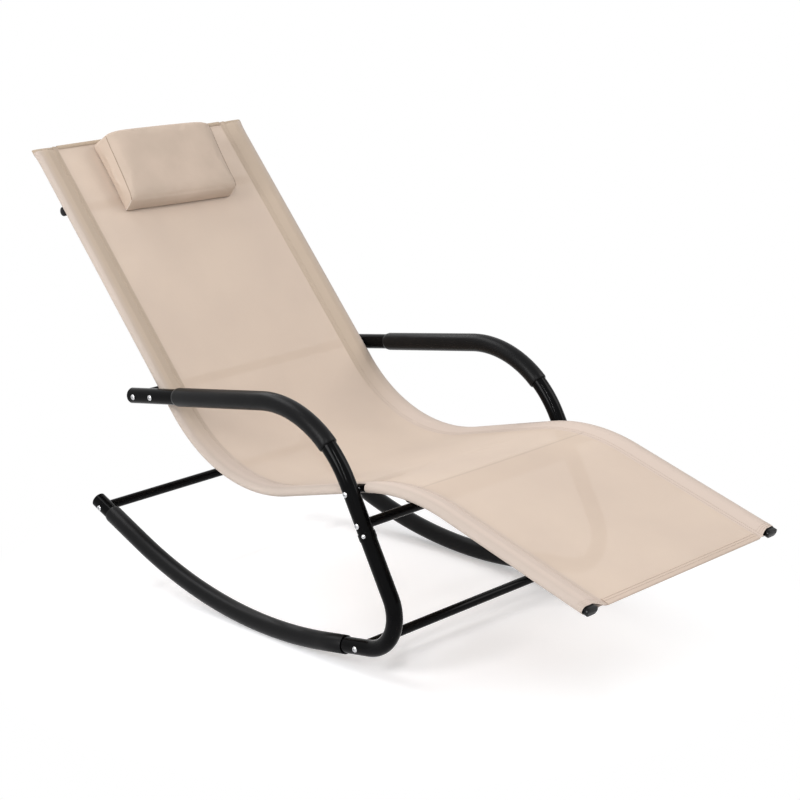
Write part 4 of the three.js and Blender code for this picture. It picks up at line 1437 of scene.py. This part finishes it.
class CHAISE_OT_fixings(bpy.types.Operator):
    """Presses one zinc-plated screw with a cross recess and puts a copy in each hole"""

    bl_idname = "chaise.fixings"
    bl_label = "Screws and washers"

    def execute(self, context):
        f, s = sizes_of("frame"), sizes_of("sling")
        route, rail = frame_route(), rail_route()
        screw_station = frame_stations()[2] + f.joint_screw_drop
        head_x = f.spacing / 2 + f.tube_diameter / 2 + f.fit_gap
        made = self.screw(f.bolt_head / 2, f.bolt_head_height, PATTERN_SHANK)
        height = f.bolt_head_height * JOINT_SCREW_SHARE
        short = self.screw(f.joint_screw_head / 2, height, JOINT_SCREW_SHANK)
        up = rail.normal(head_bar_station())
        depth = s.rail_thickness / 2 + s.cloth_gap + s.cloth + 2 * f.fit_gap + f.bar_diameter
        for hand, side in SIDES.items():
            for name, (shank, recess) in BOLTS.items():
                place = middle(f"{name}_{hand}")
                place.x = side * head_x
                way = math.radians(recess + RECESS_SPREAD * side)
                turn = Vector((0, math.cos(way), math.sin(way)))
                stretch = shank - PATTERN_SHANK
                self.fit(made, f"{name}_{hand}", place, side * SIDEWAYS, turn, stretch)
            place = rail.point(head_bar_station(), side * rail_x(), -depth)
            turn, stretch = Vector((1, 0.4 * side, 0)), HEAD_BAR_SHANK - PATTERN_SHANK
            self.fit(made, f"head_bar_bolt_{hand}", place, -up, turn, stretch)
            facing = side * math.cos(JOINT_SCREW_TURN) * SIDEWAYS
            facing = facing - math.sin(JOINT_SCREW_TURN) * route.normal(screw_station)
            place = route.point(screw_station, side * f.spacing / 2)
            place = place + (f.tube_diameter / 2 + f.joint_flare + 0.0001) * facing
            self.fit(short, f"joint_screw_{hand}", place, facing, Vector((0, 1, 0.7)), 0.0)
        remove(made)
        remove(short)
        # The solids that stay get their finish
        for name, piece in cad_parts.items():
            if "washer" in name or "coupler" in name or name == "crossbar_knee":
                piece.data.materials.clear()
                finish = finish_named("zinc" if "washer" in name else "coating")
                piece.data.materials.append(finish)
        return {"FINISHED"}

    def screw(self, radius, height, shank):
        """A pan-head screw on the Z axis with its seat at the origin."""
        rim, deep = height * RIM_SHARE, RECESS_DEPTH
        steps = [(-shank, TIP_RADIUS), (TIP_LENGTH - shank, SHANK_RADIUS), (-0.0002, SHANK_RADIUS)]
        steps += [(0.0, radius - 0.0003), (0.0004, radius), (rim, radius)]
        made = turned(steps + dome(radius, height - rim, rim, 7), 24)
        long, narrow = radius * RECESS_LONG, radius * RECESS_NARROW
        cutters = []
        for size in ((narrow, long, deep), (long, narrow, deep)):
            bpy.ops.mesh.primitive_cube_add(size=1, location=(0, 0, height))
            cutter = bpy.context.object
            cutter.scale = size
            settle(cutter)
            edit(cutter)
            bpy.ops.mesh.select_all(action="DESELECT")
            shell = bmesh.from_edit_mesh(cutter.data)
            for face in shell.faces:
                face.select_set(face.normal.z < -0.5)
            bmesh.update_edit_mesh(cutter.data)
            widen((RECESS_FLOOR, RECESS_FLOOR, 1), (0, 0, height - deep / 2))
            stop_edit()
            cutters.append(cutter)
        for cutter in cutters:
            apply_modifier(made, "BOOLEAN", object=cutter, operation="DIFFERENCE", solver="EXACT")
            remove(cutter)
        face_outwards(made)
        return made

    def fit(self, pattern, name, place, direction, turn, stretch):
        """A copy of a screw in its hole, its shank made longer by stretch."""
        piece = copy_of(pattern)
        if stretch:
            for vertex in piece.data.vertices:
                if vertex.co.z < -0.008:
                    vertex.co.z -= stretch
        seat(piece, place, direction, turn)
        stand_in(piece, name, "zinc", 35)


# Size of the cloth's faces across the panel and over its seams, along the panel, in its crease
# and in its folds, along the pockets and across the strap
COLUMN_PITCH, SEAM_COLUMN = 0.0115, 0.004
ROW_PITCH, CREASE_PITCH, FOLD_PITCH = 0.0078, 0.003, 0.004
POCKET_PITCH, STRAP_PITCH = 0.008, 0.016
# From the crease: how far its finer rows go both ways, and where the seat's folds lie
CREASE_REACH, FOLDS_START, FOLDS_END = 0.024, 0.064, 0.184
# Rows of stitches from the panel's edge, and how far from the cloth's ends they stop
SEAM_LINES, SEAM_END = (0.0025, 0.0085), 0.004
# Height of stitches over their cloth, of a hem's layer over the panel, and of its stitches
THREAD_LIFT, HEM_LIFT, HEM_THREAD_LIFT = 0.0001, 0.0007, 0.0009


class CHAISE_OT_sling(bpy.types.Operator):
    """Hangs the mesh panel between the rails, with its folded and sewn foot and head hems"""

    bl_idname = "chaise.sling"
    bl_label = "Sling panel"

    def execute(self, context):
        s = sizes_of("sling")
        route = rail_route()
        edge, half = pocket_edge_x(), pocket_edge_x() + s.seam_overlap
        outer = [half - SEAM_COLUMN * k for k in range(3)]
        columns = [-x for x in outer] + spaced(-edge, edge, COLUMN_PITCH) + outer[::-1]
        crease = crease_station()
        rows = []
        for start, end, pitch in (
            (s.panel_gap, crease - CREASE_REACH, ROW_PITCH),
            (crease - CREASE_REACH, crease + CREASE_REACH, CREASE_PITCH),
            (crease + CREASE_REACH, crease + FOLDS_START, ROW_PITCH),
            (crease + FOLDS_START, crease + FOLDS_END, FOLD_PITCH),
            (crease + FOLDS_END, route.length, ROW_PITCH),
        ):
            rows = rows[:-1] + spaced(start, end, pitch)
        panel = cloth_grid(columns, rows, lambda x, v: panel_point(route, x, v))
        # The panel's faces are turned to the sitter
        central = panel.data.polygons[len(panel.data.polygons) // 2]
        if central.normal.dot(Vector((0, -1, 1))) < 0:
            panel.data.flip_normals()
        thicken(panel, s.cloth)
        stand_in(panel, "sling_panel", "panel", 60)
        hems = [
            self.hem(route, "foot_hem", s.panel_gap, 1, s.foot_hem, s),
            self.hem(route, "head_hem", route.length, -1, s.head_hem, s),
        ]
        lift = s.cloth / 2 + THREAD_LIFT
        first, second = SEAM_LINES
        start, end = s.panel_gap + SEAM_END, route.length - SEAM_END
        places = [
            (panel_point(route, x, v, lift), route.along(v), route.normal(v))
            for x in (first - half, second - half, half - second, half - first)
            for v in spaced(start, end, s.stitch_pitch)
        ]
        seams = dress(stitch_rows(places), "side_seams", "thread")
        lift = s.cloth * 1.5 + HEM_THREAD_LIFT
        stations = (
            s.panel_gap + s.foot_hem - 0.003,
            s.panel_gap + s.foot_hem * 0.45,
            route.length - s.head_hem + 0.002,
        )
        places = [
            (panel_point(route, x, v, lift), SIDEWAYS, route.normal(v))
            for v in stations
            for x in spaced(-edge + 0.002, edge - 0.002, s.stitch_pitch)
        ]
        hem_seams = dress(stitch_rows(places), "hem_seams", "thread")
        route.length - s.panel_gap
        return {"FINISHED"}

    def hem(self, route, name, start, way, width, s):
        """The end of the panel folded over itself twice and sewn: a strip that goes round it."""
        edge = pocket_edge_x() - 0.0006
        lift = s.cloth + HEM_LIFT
        turns = [math.pi * k / 6 for k in range(7)]
        section = [(way * width * (1 - k / 4), lift) for k in range(4)]
        section += [(-way * lift * math.sin(a), lift * math.cos(a)) for a in turns]
        section += [(way * width * (k + 1) / 4, -lift) for k in range(4)]
        spots = measured(section)

        def place(x, measure):
            step, high = spots[measure]
            return panel_point(route, x, start + step, high)

        strip = cloth_grid(spaced(-edge, edge, COLUMN_PITCH), list(spots), place)
        face_outwards_of(strip, route.point(start + way * width / 2))
        thicken(strip, s.cloth * 0.8)
        smooth(strip, 60)
        return dress(strip, name, "hem" if way > 0 else "head_hem")


# Small waves along a pocket: length from crest to crest, and relative height
WAVES = ((0.083, 1.0), (0.031, 0.6))


class CHAISE_OT_pockets(bpy.types.Operator):
    """Wraps the long side pockets of the sling round the rails"""

    bl_idname = "chaise.pockets"
    bl_label = "Side pockets"

    def execute(self, context):
        s = sizes_of("sling")
        route = rail_route()
        spots = measured(pocket_section())
        # Openings at the bolts: station, half their length, and how far outside the rail's
        # middle they start
        notches = (
            (seat_bolt_station(), s.seat_notch / 2, 0.0055),
            (back_bolt_station(), s.back_notch / 2, 0.0135),
        )
        marks = [s.foot_gap]
        for station, half, _ in notches:
            marks += [station - half, station + half]
        marks.append(route.length)
        rows = []
        for low, high in zip(marks, marks[1:]):
            rows += spaced(low, high, POCKET_PITCH)[:-1]
        rows.append(route.length)
        for hand, side in SIDES.items():

            def place(measure, station):
                return self.pocket_point(route, side, *spots[measure], station, s)

            pocket = cloth_grid(list(spots), rows, place)
            self.cut_notches(pocket, route, notches)
            faces = [face for face in pocket.data.polygons if abs(face.center.x) > rail_x()]
            if sum(face.normal.x * side for face in faces) < 0:
                pocket.data.flip_normals()
            thicken(pocket, s.cloth)
            stand_in(pocket, f"side_sleeve_{hand}", "sleeve", 60)
            seams = stitch_rows(self.end_seams(route, side, spots, s))
            dress(seams, f"pocket_seams_{hand}", "thread")
            route.length - s.foot_gap
        return {"FINISHED"}

    def pocket_point(self, route, side, x, height, station, s):
        """A point of the pocket. It is drawn out and pressed flatter at its head corner, and is
        a little uneven along its length."""
        t = max(0.0, (station - route.length + s.corner_flare_length) / s.corner_flare_length)
        pressed = max(0.0, (station - route.length + s.corner_press) / s.corner_press)
        outer = max(0.0, (x - rail_x()) / (s.rail_width / 2))
        x += s.corner_flare * t * t * outer
        height *= 1 - 0.75 * pressed
        # At the foot end the cloth is cut back in a curve round the rail
        inner = max(0.0, min(1.0, 1 - (x - pocket_edge_x()) / s.foot_curve))
        near_foot = max(0.0, 1 - (station - s.foot_gap) / s.foot_curve)
        station -= (s.foot_gap - s.panel_gap) * eased(inner) * near_foot
        # There the two layers meet beside the rail
        meet = max(0.0, min(1.0, 1.6 * (1 - (x - pocket_edge_x()) / s.foot_close)))
        meet = eased(meet) * min(1.0, 2 * near_foot)
        if height < 0:
            height += meet * (2 * abs(height) - 1.2 * s.cloth)
        # The seam draws small waves, more of them round the seat
        wave = sum(size * math.sin(station * math.tau / length) for length, size in WAVES)
        away = max(0.0, 1 - abs(x - pocket_edge_x() - 0.014) / 0.014)
        seat_middle = s.foot_straight + s.knee_radius * s.knee_angle + s.seat_straight
        seat_middle += s.seat_radius * s.seat_angle / 2
        tug = 0.5 + 2.2 * bell(station - seat_middle, 0.16)
        height += math.copysign(s.pucker * tug * away * wave, height)
        return route.point(station, side * x, height)

    def cut_notches(self, pocket, route, notches):
        """Opens the pocket's outer half where the bolts pass from the frame into the rails."""
        edit(pocket)
        bpy.ops.mesh.select_all(action="DESELECT")
        shell = bmesh.from_edit_mesh(pocket.data)
        for face in shell.faces:
            spot = face.calc_center_median()
            for station, half, inner in notches:
                off = spot - route.point(station, spot.x)
                across = abs(off.dot(route.along(station))) < half and off.length < half * 2
                if across and abs(spot.x) >= rail_x() + inner:
                    face.select_set(True)
        bmesh.update_edit_mesh(pocket.data)
        bpy.ops.mesh.delete(type="FACE")
        stop_edit()

    def end_seams(self, route, side, spots, s):
        """Rows of stitches round the rail: three at the foot end and one at the head."""
        upper = [(measure, *spot) for measure, spot in spots.items() if spot[1] > -0.002]
        places = []
        stations = [s.foot_gap + step for step in (0.0035, 0.0080, 0.0125)]
        for station in (*stations, route.length - 0.006):
            normal = route.normal(station)
            for measure in spaced(0.004, upper[-1][0], s.stitch_pitch):
                for (low, x, height), (high, next_x, next_height) in zip(upper, upper[1:]):
                    if low <= measure <= high + 1e-9:
                        t = (measure - low) / (high - low)
                        over, rise = next_x - x, next_height - height
                        step = side * over * SIDEWAYS + rise * normal
                        out = side * rise * SIDEWAYS - over * normal
                        spot = (x + over * t, height + rise * t)
                        point = self.pocket_point(route, side, *spot, station, s)
                        way = -1 if out.dot(normal) < -1e-6 else 1
                        out = way * out.normalized()
                        places.append((point + out * (s.cloth / 2 + THREAD_LIFT), step, out))
                        break
        return places


# Pressure in the pillow's cover, and the frames that it has to swell
FILL_PRESSURE = 4.0
FILL_STEPS = 20
# Shallow hollows of the pillow's face: place across and up, width and depth
HOLLOWS = (
    (-0.45, 0.15, 0.5, 0.0022),
    (0.3, 0.45, 0.45, 0.0018),
    (0.05, -0.35, 0.4, 0.0020),
    (0.7, -0.2, 0.35, 0.0014),
)


class CHAISE_OT_pillow(bpy.types.Operator):
    """Sews and fills the head pillow, with its seams and the strap that it hangs on"""

    bl_idname = "chaise.pillow"
    bl_label = "Head pillow"

    def execute(self, context):
        p, s = sizes_of("pillow"), sizes_of("sling")
        pillow = self.cut(p)
        self.fill(pillow, p)
        apply_modifier(pillow, "SUBSURF", levels=1, render_levels=1)
        for vertex in pillow.data.vertices:
            vertex.co.z = max(vertex.co.z, 0.0)
        # Seams along the cover's edges, in the cube's places
        down = [1 - 2 * k / 40 for k in range(41)]
        lines = {
            "pillow_seam_right": [(-1, v, 1) for v in down],
            "pillow_seam_left": [(1, v, 1) for v in down],
            "pillow_seam_lower": [(-1 + 2 * k / 60, -1, -1) for k in range(61)],
            "pillow_corner": [(-1, -1, 1 - 2 * k / 12) for k in range(13)],
        }
        threads = {name: self.seam(pillow, p, line, s) for name, line in lines.items()}
        place, turn = lie_of_pillow()
        for piece in (pillow, *threads.values()):
            piece.matrix_world = Matrix.Translation(place) @ turn
            settle(piece)
        stand_in(pillow, "headrest_pillow", "pillow", 50, "pillow")
        for name, piece in threads.items():
            finish = "light_thread" if name == "pillow_corner" else "seam_thread"
            dress(piece, name, finish, "pillow")
        self.strap(p, s)
        return {"FINISHED"}

    def form(self, p, u, v, w):
        """A point of the filled cover from its place in a cube from -1 to 1."""
        edge = p.foot_edge + (p.head_edge - p.foot_edge) * (1 + v) / 2
        half = Vector((p.width, p.height, edge)) / 2
        flat = Vector((u * half.x, v * half.y, w * half.z))
        core = Vector(min(max(a, p.corner - h), h - p.corner) for a, h in zip(flat, half))
        out = flat - core
        if out.length > p.corner:
            out = out.normalized() * p.corner
        front = (1 + w) / 2
        seam_draw = u**4 if v > 0 else 1.0
        crown = (1 - u**6) * (1 - ((1 - v) / 2) ** 2)
        side, end = math.copysign(u**4, u), math.copysign(v**4, v)
        bulge = p.side_crown * (1 - w * w)
        wide = core.x + out.x - side * p.pinch * (1 - v * v) + side * bulge * (1 - v * v)
        wide -= side * max(v, 0.0) ** 4 * p.lean * front / 2
        high = core.y + out.y - end * p.lean * front * seam_draw + end * bulge * (1 - u * u)
        up = core.z + out.z + half.z + (p.crown * crown * w if w > 0 else 0.0)
        # The front rolls over softly towards the lower edge
        up -= max(0.0, w) * p.lower_roll * max(0.0, (-v - 0.7) / 0.3) ** 2
        face = max(0.0, w) * (1 - u**6) * (1 - v**6)
        for at_u, at_v, width, depth in HOLLOWS:
            up -= face * depth * bell(math.hypot((u - at_u) * 1.7, v - at_v), width)
        return Vector((wide, high, up))

    def cut(self, p):
        """A cube cut finely and shaped as the sewn cover."""
        deselect_all()
        bpy.ops.mesh.primitive_cube_add(size=2)
        piece = bpy.context.object
        edit(piece)
        bpy.ops.mesh.select_all(action="SELECT")
        bpy.ops.mesh.subdivide(number_cuts=31)
        stop_edit()
        for vertex in piece.data.vertices:
            vertex.co = self.form(p, *vertex.co)
        return piece

    def fill(self, piece, p):
        """Blows the cover up as its filling does, with a limit to how far a point moves."""
        make_active(piece)
        piece.data.remesh_voxel_size = p.voxel
        bpy.ops.object.voxel_remesh()
        before = [vertex.co.copy() for vertex in piece.data.vertices]
        cloth = piece.modifiers.new("Cloth", "CLOTH")
        cloth.settings.use_pressure = True
        cloth.settings.uniform_pressure_force = FILL_PRESSURE
        cloth.settings.effector_weights.gravity = 0.0
        cloth.settings.quality = 5
        cloth.point_cache.frame_start, cloth.point_cache.frame_end = 1, FILL_STEPS
        for step in range(1, FILL_STEPS + 1):
            bpy.context.scene.frame_set(step)
        make_active(piece)
        bpy.ops.object.modifier_apply(modifier=cloth.name)
        bpy.context.scene.frame_set(1)
        for vertex, start in zip(piece.data.vertices, before):
            move = vertex.co - start
            if move.length > p.swell:
                move = move.normalized() * p.swell
            vertex.co = start + move

    def seam(self, pillow, p, line, s):
        """Stitches on the cover along a line given in the cube's places."""
        lengths = measured([self.form(p, *place) for place in line])
        found = []
        for reach in spaced(0.003, list(lengths)[-1] - 0.003, s.stitch_pitch * 0.8):
            for (low, start), (high, end) in zip(lengths.items(), list(lengths.items())[1:]):
                if low <= reach <= high:
                    spot = start.lerp(end, (reach - low) / (high - low))
                    hit, near, facing, _ = pillow.closest_point_on_mesh(spot)
                    if not hit:
                        raise RuntimeError("the seam missed the pillow")
                    found.append((near + facing * 0.0002, end - start, facing))
                    break
        return stitch_rows(found, p.seam_thread)

    def strap(self, p, s):
        """The flat strap behind the pillow, over the head end and down the rear."""
        route, gap = rail_route(), sizes_of("frame").fit_gap
        front = s.panel_lift + s.cloth / 2 + gap + p.strap_thickness / 2
        rear = s.rail_thickness / 2 + s.cloth_gap + s.cloth + gap + p.strap_thickness / 2
        radius, middle_height = (front + rear) / 2, (front - rear) / 2
        end, start = route.length + gap, route.length - p.strap_front
        path = [(start + (end - start) * k / 12, front) for k in range(13)]
        for turn in (math.pi * k / 12 for k in range(1, 13)):
            path.append((end + radius * math.sin(turn), middle_height + radius * math.cos(turn)))
        path += [(end - p.strap_back * k / 10, -rear) for k in range(1, 11)]
        spots = measured(path)

        def place(x, reach):
            station, height = spots[reach]
            return route.point(station, p.offset + x, height)

        columns = spaced(-p.strap_width / 2, p.strap_width / 2, STRAP_PITCH)
        strap = cloth_grid(columns, list(spots), place)
        face_outwards_of(strap, route.point(route.length, 0.0, middle_height))
        apply_modifier(strap, "SOLIDIFY", thickness=p.strap_thickness, offset=0.0)
        stand_in(strap, "pillow_strap", "strap", 60)


# The add-on


GROUPS = {
    "chaise_frame": FrameSizes,
    "chaise_sling": SlingSizes,
    "chaise_pillow": PillowSizes,
    "chaise_colours": Colours,
    "chaise_stage": StageSizes,
}
OPERATORS = (
    CHAISE_OT_stage,
    CHAISE_OT_side_frames,
    CHAISE_OT_foam,
    CHAISE_OT_cross_tubes,
    CHAISE_OT_rails,
    CHAISE_OT_fixings,
    CHAISE_OT_sling,
    CHAISE_OT_pockets,
    CHAISE_OT_pillow,
)


class CHAISE_PT_pieces(bpy.types.Panel):
    """Lists the chaise's sizes, colours and pieces in the sidebar"""

    bl_label = "Rocking chaise lounge"
    bl_idname = "CHAISE_PT_pieces"
    bl_space_type = "VIEW_3D"
    bl_region_type = "UI"
    bl_category = "Chaise"

    def draw(self, context):
        for name, group in GROUPS.items():
            box = self.layout.box()
            box.label(text=name.removeprefix("chaise_").capitalize())
            for key in group.__annotations__:
                box.prop(getattr(context.scene, name), key)
        for operator in OPERATORS:
            self.layout.operator(operator.bl_idname)


CLASSES = (*GROUPS.values(), *OPERATORS, CHAISE_PT_pieces)


def register():
    for entry in CLASSES:
        bpy.utils.register_class(entry)
    for key, group in GROUPS.items():
        setattr(bpy.types.Scene, key, bpy.props.PointerProperty(type=group))


def unregister():
    for key in GROUPS:
        delattr(bpy.types.Scene, key)
    for entry in reversed(CLASSES):
        bpy.utils.unregister_class(entry)


def main():
    register()
    for operator in OPERATORS:
        group, name = operator.bl_idname.split(".")
        getattr(getattr(bpy.ops, group), name)()


if __name__ == "__main__":
    main()
